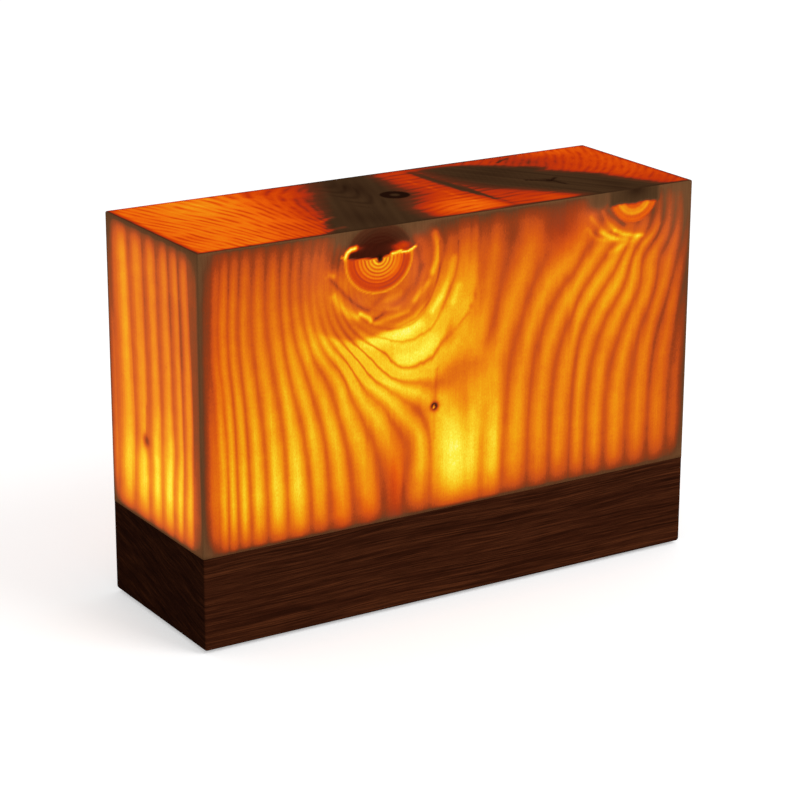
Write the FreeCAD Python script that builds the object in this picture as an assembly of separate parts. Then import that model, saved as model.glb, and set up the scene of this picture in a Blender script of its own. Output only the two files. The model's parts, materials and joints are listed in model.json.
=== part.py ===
"""Rechargeable table lamp: a translucent pine block, hollowed from below, on a dark walnut base.

Frame: millimetres, +Z up, origin on the table under the middle of the lamp.
X runs along the length, the long front face looks towards -Y, and the switch and the charging
socket are in the rear of the base, towards +Y.
"""
import FreeCAD, Part
import math
import os

from FreeCAD import Vector

# Overall sizes
LENGTH = 240.0
DEPTH = 81.0
SHADE_HEIGHT = 126.0
BASE_HEIGHT = 40.0

# Pine shade, hollowed from below until its walls let the light through
SHADE_WALL = 5.0
SHADE_TOP = 5.0
CAVITY_CORNER = 5.0
SHADE_EDGE = 0.8

# Walnut base, pocketed from below
BASE_WALL = 12.0
BASE_ROOF = 7.0
BASE_UPRIGHT_EDGE = 1.0
BASE_FOOT_EDGE = 1.5
POCKET_CORNER = 6.0

# Bottom cover, let into the underside of the base
COVER_THICK = 3.0
COVER_RIM = 5.0
COVER_CORNER = 4.0
COVER_SCREW_BITE = 6.0
INSERT_RADIUS = 2.4
INSERT_LENGTH = 7.0

# Rubber feet, sunk a little into the cover
FOOT_RADIUS = 6.0
FOOT_PROUD = 1.2
FOOT_SINK = 1.0
FOOT_EDGE = 0.5
FOOT_INSET = 20.0

# Plywood deck that closes the mouth of the shade and carries the light board
DECK_THICK = 4.0
DECK_SCREW_BITE = 3.0
DECK_SCREW_INSET_X = 6.0
DECK_SCREW_INSET_Y = 4.0

# Light board with its rows of emitters
LIGHT_BOARD_MARGIN_X = 17.0
LIGHT_BOARD_MARGIN_Y = 19.5
LIGHT_BOARD_THICK = 1.6
EMITTER_LENGTH = 3.5
EMITTER_WIDTH = 2.8
EMITTER_HEIGHT = 0.8
EMITTERS_IN_ROW = 10
EMITTER_MARGIN = 17.0
LIGHT_SCREW_INSET = 5.0
LIGHT_SCREW_BITE = 3.0

# Grommet that takes the leads through the roof of the base
GROMMET_RADIUS = 4.0
GROMMET_BORE = 2.6
GROMMET_FLANGE = 1.5
GROMMET_LIP = 1.4

# Battery: two cells side by side in a moulded holder under the roof. The holder and the control
# board beside it are centred together in the base.
CELL_DIAMETER = 18.6
CELL_LENGTH = 65.0
CELL_BUTTON_RADIUS = 3.2
CELL_BUTTON_HEIGHT = 1.2
CELL_EDGE = 0.8
HOLDER_WALL = 1.6
HOLDER_FLOOR = 1.5
HOLDER_DEPTH = 20.0
HOLDER_SCREW_BITE = 5.0
CONTACT_THICK = 0.5
CONTACT_HEIGHT = 11.0
CONTACT_TAIL_WIDTH = 4.0
CONTACT_TAIL_REACH = 3.5
BOW_REACH = 3.0
BOW_HALF_HEIGHT = 4.0

# Control board: charger and lamp driver, hung from the roof on spacers
BOARD_LENGTH = 58.0
BOARD_WIDTH = 36.0
BOARD_THICK = 1.6
BOARD_GAP = 20.0
BOARD_SCREW_INSET = 3.6
BOARD_SCREW_BITE = 4.5
SPACER_RADIUS = 2.6
SPACER_HEIGHT = 5.0
SOCKET_LENGTH = 5.0
SOCKET_WIDTH = 6.0
SOCKET_HEIGHT = 5.0
SOCKET_PITCH = 7.2
SOCKET_ROW_SHIFT = 4.0
COIL_WIDTH = 7.0
COIL_HEIGHT = 4.5
CHIP_LENGTH = 5.0
CHIP_WIDTH = 4.0
CHIP_HEIGHT = 1.6
CAPACITOR_RADIUS = 3.2
CAPACITOR_LENGTH = 6.0

# Two round fittings in the rear wall: the push button and the charging socket
FITTING_SPACING = 28.0
FITTING_GAP = 0.8
BARREL_WALL = 1.0
BARREL_TAIL = 4.0
FLANGE_RIM = 1.2
FLANGE_THICK = 1.6
FLANGE_EDGE = 0.3
NUT_ACROSS = 15.0
NUT_THICK = 3.0

# Push button
CAP_RADIUS = 4.0
CAP_PROUD = 0.9
CAP_SHY = 0.1
CAP_EDGE = 0.4
CAP_COLLAR_LENGTH = 1.4
CAP_STEM_RADIUS = 2.4
CAP_TRAVEL = 1.5
CAP_STOP_GAP = 0.3
SPRING_WIRE = 0.6
SPRING_TURNS = 5
SPRING_LENGTH = 8.0
TERMINAL_WIDTH = 2.0
TERMINAL_THICK = 0.6
TERMINAL_LENGTH = 4.0
TERMINAL_SPACING = 4.0
RING_OFFSET = 0.7
RING_WIDTH = 0.9
RING_DEPTH = 0.8

# Charging socket
PORT_WIDTH = 8.94
PORT_HEIGHT = 3.26
PORT_SKIN = 0.3
PORT_DEPTH = 7.0
PORT_SIDE = 0.53
TONGUE_WIDTH = 6.7
TONGUE_THICK = 0.7
TONGUE_LENGTH = 5.2

# Leads
LEAD_DIAMETER = 1.6
LEAD_PITCH = 2.2
LEAD_STRAIGHT = 8.0
LEAD_DROP = 8.0
LEAD_CORNER = 2.5
LEAD_RISE = 2.0

# Screws: one thread size for all, with two kinds of head
SCREW_RADIUS = 1.45
PAN_RADIUS = 2.8
PAN_HEIGHT = 2.0
SUNK_RADIUS = 2.8
SUNK_HEIGHT = 1.6
DRIVE_WIDTH = 0.9
DRIVE_SPAN = 3.2
DRIVE_DEPTH = 0.9
SCREW_CLEARANCE = 0.2

# Clearances: FIT is a close push fit, RUN a sliding fit, SLIP an easy drop-in fit
FIT = 0.05
RUN = 0.06
SLIP = 0.3

# Levels and half sizes that follow
half_length = LENGTH / 2
half_depth = DEPTH / 2
base_z = FOOT_PROUD
joint_z = base_z + BASE_HEIGHT
top_z = joint_z + SHADE_HEIGHT
roof_z = joint_z - BASE_ROOF
cover_top_z = base_z + COVER_THICK
deck_top_z = joint_z + DECK_THICK
pocket_x = half_length - BASE_WALL
pocket_y = half_depth - BASE_WALL
cavity_x = half_length - SHADE_WALL
cavity_y = half_depth - SHADE_WALL
rebate_x = half_length - COVER_RIM
rebate_y = half_depth - COVER_RIM

barrel_bore = PORT_WIDTH / 2 + PORT_SIDE
barrel_radius = barrel_bore + BARREL_WALL
flange_radius = barrel_radius + FLANGE_RIM
well_depth = FLANGE_THICK + CAP_PROUD + CAP_SHY

X, Y, Z = Vector(1, 0, 0), Vector(0, 1, 0), Vector(0, 0, 1)


# General shapes

def block(low, high):
    """Box between two opposite corners."""
    size = [b - a for a, b in zip(low, high)]
    return Part.makeBox(*size, Vector(*low))


def slab(half_x, half_y, z0, z1, corner):
    """Upright plate about the Z axis with rounded corners."""
    plate = block((-half_x, -half_y, z0), (half_x, half_y, z1))
    return plate.makeFillet(corner, upright_edges(plate))


def rod(radius, start, direction, length):
    """Round bar from start along direction."""
    return Part.makeCylinder(radius, length, Vector(*start), direction)


def ring(outer, inner, start, direction, length):
    """Round tube from start along direction."""
    return rod(outer, start, direction, length).cut(rod(inner, start, direction, length))


def upright_edges(shape):
    """Edges that run along Z."""
    return [e for e in shape.Edges if abs(e.tangentAt(e.FirstParameter).z) > 0.99]


def level_edges(shape, z):
    """Edges that lie at one height."""
    return [e for e in shape.Edges if max(abs(e.BoundBox.ZMin - z), abs(e.BoundBox.ZMax - z)) < 1e-6]


def without(shape, *tools):
    """The shape with every tool cut away."""
    for tool in tools:
        shape = shape.cut(tool)
    return shape


def together(shapes):
    """Separate solids kept in one group."""
    return Part.makeCompound(list(shapes))


def turned(shape, direction):
    """A shape drawn along +Z, turned so that +Z points along direction."""
    spun = shape.copy()
    spun.Placement = FreeCAD.Placement(Vector(), FreeCAD.Rotation(Z, direction))
    return spun


def placed(shape, spot):
    """A copy of the shape moved to spot."""
    moved = shape.copy()
    moved.translate(Vector(*spot))
    return moved


def corners(x, y):
    """The four corners of a rectangle about the Z axis."""
    return [(sx * x, sy * y) for sx in (-1, 1) for sy in (-1, 1)]


# Screws, drawn with the head's outer face at the origin and the shank along -Z

def cross_drive():
    """Crossed slots of a screw head."""
    arm = block((-DRIVE_SPAN / 2, -DRIVE_WIDTH / 2, -DRIVE_DEPTH), (DRIVE_SPAN / 2, DRIVE_WIDTH / 2, 1))
    other = arm.copy()
    other.rotate(Vector(), Z, 90)
    return arm.fuse(other)


def pan_screw(length):
    """Pan head with the seat PAN_HEIGHT below the outer face."""
    head = rod(PAN_RADIUS, (0, 0, -PAN_HEIGHT), Z, PAN_HEIGHT)
    head = head.makeFillet(PAN_HEIGHT * 0.45, level_edges(head, 0))
    shank = rod(SCREW_RADIUS, (0, 0, -PAN_HEIGHT - length), Z, length)
    return head.fuse(shank).removeSplitter().cut(cross_drive())


def sunk_screw(length):
    """Countersunk head, flush at the outer face."""
    head = Part.makeCone(SCREW_RADIUS, SUNK_RADIUS, SUNK_HEIGHT, Vector(0, 0, -SUNK_HEIGHT))
    shank = rod(SCREW_RADIUS, (0, 0, -length), Z, length - SUNK_HEIGHT)
    return head.fuse(shank).removeSplitter().cut(cross_drive())


def screw_hole(spot, direction, length, gap):
    """Round hole for a screw's shank."""
    return rod(SCREW_RADIUS + gap, spot, direction, length)


# Pine shade

def make_shade():
    """Hollow block, open below, with lightly rounded outer edges."""
    body = block((-half_length, -half_depth, joint_z), (half_length, half_depth, top_z))
    body = body.makeFillet(SHADE_EDGE, upright_edges(body) + level_edges(body, top_z))
    cavity = slab(cavity_x, cavity_y, joint_z, top_z - SHADE_TOP, CAVITY_CORNER)
    return body.cut(cavity)


# Places of the fastenings

deck_screw_x = pocket_x - DECK_SCREW_INSET_X
deck_screw_y = pocket_y - DECK_SCREW_INSET_Y
ledge_y = (rebate_y + pocket_y) / 2
cover_screw_spots = corners(pocket_x, ledge_y) + [(0, -ledge_y), (0, ledge_y)]
foot_spots = corners(half_length - FOOT_INSET, half_depth - FOOT_INSET)
light_half_x = cavity_x - LIGHT_BOARD_MARGIN_X
light_half_y = cavity_y - LIGHT_BOARD_MARGIN_Y
light_screw_spots = corners(light_half_x - LIGHT_SCREW_INSET, light_half_y - LIGHT_SCREW_INSET)
emitter_end_x = light_half_x - EMITTER_MARGIN
emitter_pitch = 2 * emitter_end_x / (EMITTERS_IN_ROW - 1)
grommet_y = -(pocket_y - GROMMET_RADIUS - GROMMET_FLANGE)
fitting_z = base_z + BASE_HEIGHT / 2
well_y = half_depth - well_depth
flange_y = well_y + FLANGE_THICK


# Walnut base

def make_base():
    """Solid block with a pocket and a cover rebate below, and two stepped holes in the rear wall."""
    body = block((-half_length, -half_depth, base_z), (half_length, half_depth, joint_z))
    body = body.makeFillet(BASE_UPRIGHT_EDGE, upright_edges(body))
    body = body.makeFillet(BASE_FOOT_EDGE, level_edges(body, base_z))
    pocket = slab(pocket_x, pocket_y, base_z, roof_z, POCKET_CORNER)
    rebate = slab(rebate_x, rebate_y, base_z, cover_top_z, COVER_CORNER)
    body = without(body, pocket, rebate)
    for x in (button_x, port_x):
        well = rod(flange_radius + SLIP, (x, half_depth, fitting_z), -Y, well_depth)
        bore = rod(barrel_radius + FIT, (x, half_depth, fitting_z), -Y, BASE_WALL)
        body = without(body, well, bore)
    for x, y in deck_screw_spots:
        body = body.cut(screw_hole((x, y, roof_z), Z, BASE_ROOF, SCREW_CLEARANCE))
    for x, y in cover_screw_spots:
        body = body.cut(rod(INSERT_RADIUS + FIT, (x, y, cover_top_z), Z, INSERT_LENGTH))
    for x, y in board_screw_spots:
        body = body.cut(screw_hole((x, y, roof_z), Z, BOARD_SCREW_BITE + FIT, FIT))
    for x, y in holder_screw_spots:
        body = body.cut(screw_hole((x, y, roof_z), Z, HOLDER_SCREW_BITE + FIT, FIT))
    return body.cut(rod(GROMMET_RADIUS + FIT, (grommet_x, grommet_y, roof_z), Z, BASE_ROOF))


# Bottom cover, feet and their fastenings

def make_cover():
    """Plate that closes the pocket, with sunk screw holes and seats for the feet."""
    plate = slab(rebate_x - SLIP, rebate_y - SLIP, base_z, cover_top_z, COVER_CORNER - SLIP)
    sink = Part.makeCone(SUNK_RADIUS + FIT, SCREW_RADIUS + FIT, SUNK_HEIGHT, Vector(0, 0, base_z))
    for x, y in cover_screw_spots:
        hole = screw_hole((x, y, base_z), Z, COVER_THICK, FIT)
        plate = without(plate, placed(sink, (x, y, 0)), hole)
    for x, y in foot_spots:
        plate = plate.cut(rod(FOOT_RADIUS + FIT, (x, y, base_z), Z, FOOT_SINK))
    return plate


def make_foot(x, y):
    """Soft round foot that stands on the table."""
    foot = rod(FOOT_RADIUS, (x, y, 0), Z, FOOT_PROUD + FOOT_SINK)
    return foot.makeFillet(FOOT_EDGE, level_edges(foot, 0))


def make_cover_screws():
    """Countersunk screws, driven from below."""
    screw = turned(sunk_screw(COVER_THICK + COVER_SCREW_BITE), -Z)
    return together(placed(screw, (x, y, base_z)) for x, y in cover_screw_spots)


def make_cover_inserts():
    """Brass sleeves in the ledge of the base that take the cover screws."""
    sleeve = ring(INSERT_RADIUS, SCREW_RADIUS + FIT, (0, 0, cover_top_z), Z, INSERT_LENGTH)
    return together(placed(sleeve, (x, y, 0)) for x, y in cover_screw_spots)


# Deck and light board

def make_deck():
    """Plywood plate in the mouth of the shade."""
    plate = slab(cavity_x - SLIP, cavity_y - SLIP, joint_z, deck_top_z, CAVITY_CORNER - SLIP)
    for x, y in deck_screw_spots:
        plate = plate.cut(screw_hole((x, y, joint_z), Z, DECK_SCREW_BITE + FIT, FIT))
    for x, y in light_screw_spots:
        plate = plate.cut(screw_hole((x, y, deck_top_z), -Z, LIGHT_SCREW_BITE + FIT, FIT))
    return plate.cut(rod(GROMMET_RADIUS + FIT, (grommet_x, grommet_y, joint_z), Z, DECK_THICK))


def make_deck_screws():
    """Pan-head screws up through the roof of the base into the deck."""
    screw = turned(pan_screw(BASE_ROOF + DECK_SCREW_BITE), -Z)
    return together(placed(screw, (x, y, roof_z - PAN_HEIGHT)) for x, y in deck_screw_spots)


def make_light_board():
    """Aluminium circuit board, screwed flat to the deck."""
    board_top_z = deck_top_z + LIGHT_BOARD_THICK
    board = block((-light_half_x, -light_half_y, deck_top_z), (light_half_x, light_half_y, board_top_z))
    holes = [screw_hole((sx, sy, deck_top_z), Z, LIGHT_BOARD_THICK, FIT) for sx, sy in light_screw_spots]
    return without(board, *holes)


def make_light_screws():
    """Pan-head screws of the light board."""
    screw = pan_screw(LIGHT_BOARD_THICK + LIGHT_SCREW_BITE)
    z = deck_top_z + LIGHT_BOARD_THICK + PAN_HEIGHT
    return together(placed(screw, (x, y, z)) for x, y in light_screw_spots)


def make_emitters():
    """Two rows of light emitters on the board."""
    z0 = deck_top_z + LIGHT_BOARD_THICK
    x, y = EMITTER_LENGTH / 2, EMITTER_WIDTH / 2
    chip = block((-x, -y, z0), (x, y, z0 + EMITTER_HEIGHT))
    return together(
        placed(chip, (i * emitter_pitch - emitter_end_x, side * light_half_y / 2, 0))
        for i in range(EMITTERS_IN_ROW)
        for side in (-1, 1)
    )


light_socket_x = 2 * emitter_pitch
light_socket_y = -(light_half_y - SOCKET_WIDTH / 2 + SLIP)
light_socket_z = deck_top_z + LIGHT_BOARD_THICK + SOCKET_HEIGHT / 2


def make_light_socket():
    """Plug-in socket at the front edge of the light board, open towards -X."""
    half_x, half_y, half_z = SOCKET_LENGTH / 2, SOCKET_WIDTH / 2 - SLIP, SOCKET_HEIGHT / 2
    x, y, z = light_socket_x, light_socket_y, light_socket_z
    return block((x - half_x, y - half_y, z - half_z), (x + half_x, y + half_y, z + half_z))


def make_grommet():
    """Rubber sleeve through the roof and the deck, with a lip at each end."""
    spot = (grommet_x, grommet_y, roof_z - GROMMET_LIP)
    length = BASE_ROOF + DECK_THICK + 2 * GROMMET_LIP
    lip = GROMMET_RADIUS + GROMMET_FLANGE
    body = rod(GROMMET_RADIUS, spot, Z, length)
    for z in (roof_z - GROMMET_LIP, deck_top_z):
        body = body.fuse(rod(lip, (grommet_x, grommet_y, z), Z, GROMMET_LIP))
    return body.removeSplitter().cut(rod(GROMMET_BORE, spot, Z, length))


# Battery

contact_space = CONTACT_THICK + BOW_REACH
cell_space = CELL_LENGTH + CELL_BUTTON_HEIGHT + 2 * FIT
holder_length = cell_space + contact_space + CONTACT_THICK + 2 * HOLDER_WALL
holder_half_width = CELL_DIAMETER + 1.5 * HOLDER_WALL + 2 * SLIP
holder_x0 = -(holder_length + BOARD_GAP + BOARD_LENGTH) / 2
holder_x1 = holder_x0 + holder_length
holder_low_z = roof_z - HOLDER_DEPTH
cell_y = (CELL_DIAMETER + HOLDER_WALL) / 2 + SLIP
cell_z = roof_z - HOLDER_FLOOR - FIT - CELL_DIAMETER / 2
cell_x0 = holder_x0 + HOLDER_WALL + contact_space + FIT
holder_screw_spots = [
    (holder_x0 + holder_length * share, 0) for share in (0.3, 0.7)
]
holder_rib_gap = PAN_RADIUS + SLIP
nut_corner = NUT_ACROSS / math.sqrt(3)
port_x = holder_x1 + FITTING_GAP + nut_corner
button_x = port_x + FITTING_SPACING


def make_cell(side):
    """One round cell with a raised positive end towards +X."""
    y = side * cell_y
    can = rod(CELL_DIAMETER / 2, (cell_x0, y, cell_z), X, CELL_LENGTH)
    ends = [e for e in can.Edges if e.Closed and abs(e.Curve.Radius - CELL_DIAMETER / 2) < 1e-6]
    can = can.makeFillet(CELL_EDGE, ends)
    nub = rod(CELL_BUTTON_RADIUS, (cell_x0 + CELL_LENGTH, y, cell_z), X, CELL_BUTTON_HEIGHT)
    return can.fuse(nub).removeSplitter()


def contact_tail(x0, x1, half_width, half_thick):
    """Flat solder tail that passes through the end wall of the holder."""
    return block((x0, -half_width, cell_z - half_thick), (x1, half_width, cell_z + half_thick))


def make_holder():
    """Tray for two cells, open below, with a rib between them."""
    tray = block((holder_x0, -holder_half_width, holder_low_z), (holder_x1, holder_half_width, roof_z))
    inner_x0, inner_x1 = holder_x0 + HOLDER_WALL, holder_x1 - HOLDER_WALL
    floor_z = roof_z - HOLDER_FLOOR
    for side in (-1, 1):
        near, far = sorted((side * HOLDER_WALL / 2, side * (holder_half_width - HOLDER_WALL)))
        tray = tray.cut(block((inner_x0, near, holder_low_z), (inner_x1, far, floor_z)))
    for x, y in holder_screw_spots:
        gap = block(
            (x - holder_rib_gap, -HOLDER_WALL, holder_low_z),
            (x + holder_rib_gap, HOLDER_WALL, floor_z),
        )
        tray = without(tray, gap, screw_hole((x, y, floor_z), Z, HOLDER_FLOOR, FIT))
    for x0, x1 in ((inner_x0, inner_x0 + contact_space), (inner_x1 - 2 * CONTACT_THICK, inner_x1)):
        bridge = block(
            (x0, -HOLDER_WALL, cell_z - CONTACT_HEIGHT / 2 - SLIP),
            (x1, HOLDER_WALL, cell_z + CONTACT_HEIGHT / 2 + SLIP),
        )
        tray = tray.cut(bridge)
    slot = contact_tail(holder_x0, holder_x1, CONTACT_TAIL_WIDTH / 2 + FIT, CONTACT_THICK / 2 + FIT)
    walls = [block((x, -CELL_DIAMETER, holder_low_z), (x + HOLDER_WALL, CELL_DIAMETER, roof_z))
             for x in (holder_x0, inner_x1)]
    return without(tray, *[slot.common(wall) for wall in walls])


def make_holder_screws():
    """Pan-head screws that hold the tray to the roof of the base."""
    screw = turned(pan_screw(HOLDER_FLOOR + HOLDER_SCREW_BITE), -Z)
    z = roof_z - HOLDER_FLOOR - PAN_HEIGHT
    return together(placed(screw, (x, y, z)) for x, y in holder_screw_spots)


def contact_plate(x0):
    """Metal strip across both cells."""
    half_y, half_z = 2 * cell_y - CELL_DIAMETER / 2, CONTACT_HEIGHT / 2
    return block((x0, -half_y, cell_z - half_z), (x0 + CONTACT_THICK, half_y, cell_z + half_z))


def bow(side):
    """Springy bow that presses on the flat end of one cell: a bent strip of even thickness."""
    back_x = holder_x0 + HOLDER_WALL + CONTACT_THICK
    y = side * cell_y
    faces = []
    for thinner in (0, CONTACT_THICK):
        low = Vector(back_x, y, cell_z - BOW_HALF_HEIGHT + thinner)
        tip = Vector(back_x + BOW_REACH - thinner, y, cell_z)
        high = Vector(back_x, y, cell_z + BOW_HALF_HEIGHT - thinner)
        outline = [Part.Arc(low, tip, high).toShape(), Part.LineSegment(high, low).toShape()]
        faces.append(Part.Face(Part.Wire(outline)))
    strip = faces[0].cut(faces[1]).extrude(Vector(0, CONTACT_TAIL_WIDTH, 0))
    return placed(strip, (0, -CONTACT_TAIL_WIDTH / 2, 0))


def make_negative_contact():
    """Strip with two bows at the flat ends of the cells, and a solder tail."""
    x0 = holder_x0 + HOLDER_WALL
    tail = contact_tail(holder_x0 - CONTACT_TAIL_REACH, x0, CONTACT_TAIL_WIDTH / 2, CONTACT_THICK / 2)
    return contact_plate(x0).multiFuse([bow(-1), bow(1), tail]).removeSplitter()


def make_positive_contact():
    """Flat strip at the raised ends of the cells, with a solder tail."""
    x0 = holder_x1 - HOLDER_WALL - CONTACT_THICK
    tail = contact_tail(x0, holder_x1 + CONTACT_TAIL_REACH, CONTACT_TAIL_WIDTH / 2, CONTACT_THICK / 2)
    return contact_plate(x0).fuse(tail).removeSplitter()


# Control board

board_x0 = holder_x1 + BOARD_GAP
board_x1 = board_x0 + BOARD_LENGTH
board_z1 = roof_z - SPACER_HEIGHT
board_z0 = board_z1 - BOARD_THICK
board_mid_x = (board_x0 + board_x1) / 2
board_screw_spots = [
    (board_mid_x + x, y)
    for x, y in corners(BOARD_LENGTH / 2 - BOARD_SCREW_INSET, BOARD_WIDTH / 2 - BOARD_SCREW_INSET)
]
socket_names = ("lamp", "battery", "charge", "switch")
socket_x0 = board_x1 - 2 * BOARD_SCREW_INSET - SOCKET_LENGTH
socket_low_z = board_z0 - SOCKET_HEIGHT
grommet_x = board_x0 - GROMMET_RADIUS - GROMMET_FLANGE - SLIP
deck_screw_spots = corners(deck_screw_x, deck_screw_y) + [((holder_x1 + board_x0) / 2, deck_screw_y)]
socket_y = {
    name: (i - (len(socket_names) - 1) / 2) * SOCKET_PITCH - SOCKET_ROW_SHIFT
    for i, name in enumerate(socket_names)
}


def make_control_board():
    """Charger and driver circuit board."""
    y = BOARD_WIDTH / 2
    board = block((board_x0, -y, board_z0), (board_x1, y, board_z1))
    holes = [screw_hole((sx, sy, board_z0), Z, BOARD_THICK, FIT) for sx, sy in board_screw_spots]
    return without(board, *holes)


def make_spacers():
    """Round spacers between the board and the roof."""
    spacer = ring(SPACER_RADIUS, SCREW_RADIUS + FIT, (0, 0, board_z1), Z, SPACER_HEIGHT)
    return together(placed(spacer, (x, y, 0)) for x, y in board_screw_spots)


def make_board_screws():
    """Pan-head screws that hang the board from the roof."""
    screw = turned(pan_screw(BOARD_THICK + SPACER_HEIGHT + BOARD_SCREW_BITE), -Z)
    return together(placed(screw, (x, y, board_z0 - PAN_HEIGHT)) for x, y in board_screw_spots)


def make_board_sockets():
    """Four plug-in sockets in a row under the board, open downwards and set towards the front."""
    half = SOCKET_WIDTH / 2
    socket = block((socket_x0, -half, socket_low_z), (socket_x0 + SOCKET_LENGTH, half, board_z0))
    return together(placed(socket, (0, y, 0)) for y in socket_y.values())


def make_coil():
    """Wound choke in its square case."""
    x, half = board_mid_x - COIL_WIDTH, COIL_WIDTH / 2
    case = block((x - half, -half, board_z0 - COIL_HEIGHT), (x + half, half, board_z0))
    return case.makeFillet(COIL_WIDTH * 0.2, upright_edges(case))


def make_chips():
    """Charger, protection and driver chips."""
    half_x, half_y = CHIP_LENGTH / 2, CHIP_WIDTH / 2
    chip = block((-half_x, -half_y, board_z0 - CHIP_HEIGHT), (half_x, half_y, board_z0))
    x, step = board_mid_x + CHIP_LENGTH, 2 * CHIP_WIDTH
    return together(placed(chip, (x, y, 0)) for y in (-step, 0, step))


def make_capacitors():
    """Two round capacitors that stand on the board."""
    x, step = board_mid_x - 2 * COIL_WIDTH - CAPACITOR_RADIUS, 2 * CAPACITOR_RADIUS + 1
    can = rod(CAPACITOR_RADIUS, (0, 0, board_z0 - CAPACITOR_LENGTH), Z, CAPACITOR_LENGTH)
    can = can.makeFillet(CAPACITOR_RADIUS * 0.15, level_edges(can, board_z0 - CAPACITOR_LENGTH))
    return together(placed(can, (x, y, 0)) for y in (-step, 0))


# Round fittings in the rear wall, which point out along +Y

barrel_length = FLANGE_THICK + BASE_WALL - well_depth + NUT_THICK + BARREL_TAIL
barrel_end_y = flange_y - barrel_length


def barrel(x, bore):
    """Flanged barrel with a plain bore."""
    body = rod(barrel_radius, (x, flange_y, fitting_z), -Y, barrel_length)
    flange = rod(flange_radius, (x, flange_y, fitting_z), -Y, FLANGE_THICK)
    rim = [e for e in flange.Edges if e.Closed and abs(e.BoundBox.YMin - flange_y) < 1e-6]
    body = body.fuse(flange.makeFillet(FLANGE_EDGE, rim)).removeSplitter()
    return body.cut(rod(bore, (x, flange_y, fitting_z), -Y, barrel_length))


def nut(x):
    """Hexagon nut that draws the barrel against the wall of the base."""
    turns = [math.radians(60 * i) for i in range(6)]
    points = [Vector(nut_corner * math.cos(t), nut_corner * math.sin(t), 0) for t in turns]
    hexagon = Part.Face(Part.makePolygon(points + points[:1])).extrude(Z * NUT_THICK)
    body = placed(turned(hexagon, -Y), (x, pocket_y, fitting_z))
    return body.cut(rod(barrel_radius + FIT, (x, pocket_y, fitting_z), -Y, NUT_THICK))


# Push button

cap_front_y = flange_y + CAP_PROUD
collar_front_y = flange_y - FLANGE_THICK - FIT
collar_back_y = collar_front_y - CAP_COLLAR_LENGTH
switch_block_y = collar_back_y - SPRING_LENGTH
spring_radius = (CAP_STEM_RADIUS + barrel_bore) / 2
ring_inner = CAP_RADIUS + RING_OFFSET
ring_outer = ring_inner + RING_WIDTH


def make_button_barrel():
    """Barrel with a narrow mouth that guides the cap, and a groove for the light ring."""
    body = barrel(button_x, CAP_RADIUS + RUN)
    wide = rod(barrel_bore, (button_x, flange_y - FLANGE_THICK, fitting_z), -Y, barrel_length)
    groove = ring(ring_outer + FIT, ring_inner - FIT, (button_x, flange_y, fitting_z), -Y, RING_DEPTH)
    return without(body, wide, groove)


def make_light_ring():
    """Milky ring that shows the state of charge."""
    return ring(ring_outer, ring_inner, (button_x, flange_y, fitting_z), -Y, RING_DEPTH)


def make_button_cap():
    """Round cap with a collar behind the mouth of the barrel and a stem for the switch."""
    spot = (button_x, cap_front_y, fitting_z)
    head = rod(CAP_RADIUS, spot, -Y, cap_front_y - collar_back_y)
    rim = [e for e in head.Edges if e.Closed and abs(e.BoundBox.YMin - cap_front_y) < 1e-6]
    head = head.makeFillet(CAP_EDGE, rim)
    collar = rod(barrel_bore - SLIP, (button_x, collar_front_y, fitting_z), -Y, CAP_COLLAR_LENGTH)
    stem_length = SPRING_LENGTH - CAP_TRAVEL - CAP_STOP_GAP
    stem = rod(CAP_STEM_RADIUS, (button_x, collar_back_y, fitting_z), -Y, stem_length)
    return head.multiFuse([collar, stem]).removeSplitter()


def make_switch_block():
    """Moulded contact block that closes the rear of the button's barrel."""
    length = switch_block_y - barrel_end_y
    return rod(barrel_bore - FIT, (button_x, switch_block_y, fitting_z), -Y, length)


def make_terminals():
    """Two solder pins on the contact block, one above the other."""
    pin = block(
        (-TERMINAL_WIDTH / 2, barrel_end_y - TERMINAL_LENGTH, -TERMINAL_THICK / 2),
        (TERMINAL_WIDTH / 2, barrel_end_y, TERMINAL_THICK / 2),
    )
    return together(placed(pin, (button_x, 0, fitting_z + s * TERMINAL_SPACING / 2)) for s in (-1, 1))


def make_spring():
    """Return spring: one round wire wound about Y, with its turns made of quarter-turn arcs."""
    wire = SPRING_WIRE / 2
    start_y = collar_back_y - wire - FIT
    pitch = (SPRING_LENGTH - SPRING_WIRE - 2 * FIT) / SPRING_TURNS

    def spot(turn):
        angle = 2 * math.pi * turn
        return Vector(
            button_x + spring_radius * math.cos(angle),
            start_y - pitch * turn,
            fitting_z + spring_radius * math.sin(angle),
        )

    quarters = range(4 * SPRING_TURNS)
    edges = [Part.Arc(spot(q / 4), spot(q / 4 + 0.125), spot(q / 4 + 0.25)).toShape() for q in quarters]
    path = Part.Wire(edges)
    heading = edges[0].tangentAt(edges[0].FirstParameter)
    profile = Part.Wire(Part.makeCircle(wire, spot(0), heading))
    print("spring: gap between turns %.2f mm" % (pitch - SPRING_WIRE))
    return Part.makeSolid(path.makePipeShell([profile], True, False))


# Charging socket

def stadium(x, width, height, y, length):
    """Flat-sided bar with round ends, from y towards the inside of the base."""
    radius, flat = height / 2, (width - height) / 2
    ends = [rod(radius, (x + s * flat, y, fitting_z), -Y, length) for s in (-1, 1)]
    middle = block((x - flat, y - length, fitting_z - radius), (x + flat, y, fitting_z + radius))
    return middle.multiFuse(ends).removeSplitter()


def make_port_core():
    """Moulded core that holds the socket shell in its barrel."""
    core = rod(barrel_bore - FIT, (port_x, flange_y, fitting_z), -Y, barrel_length)
    width, height = PORT_WIDTH + 2 * FIT, PORT_HEIGHT + 2 * FIT
    return core.cut(stadium(port_x, width, height, flange_y, PORT_DEPTH + FIT))


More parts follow.
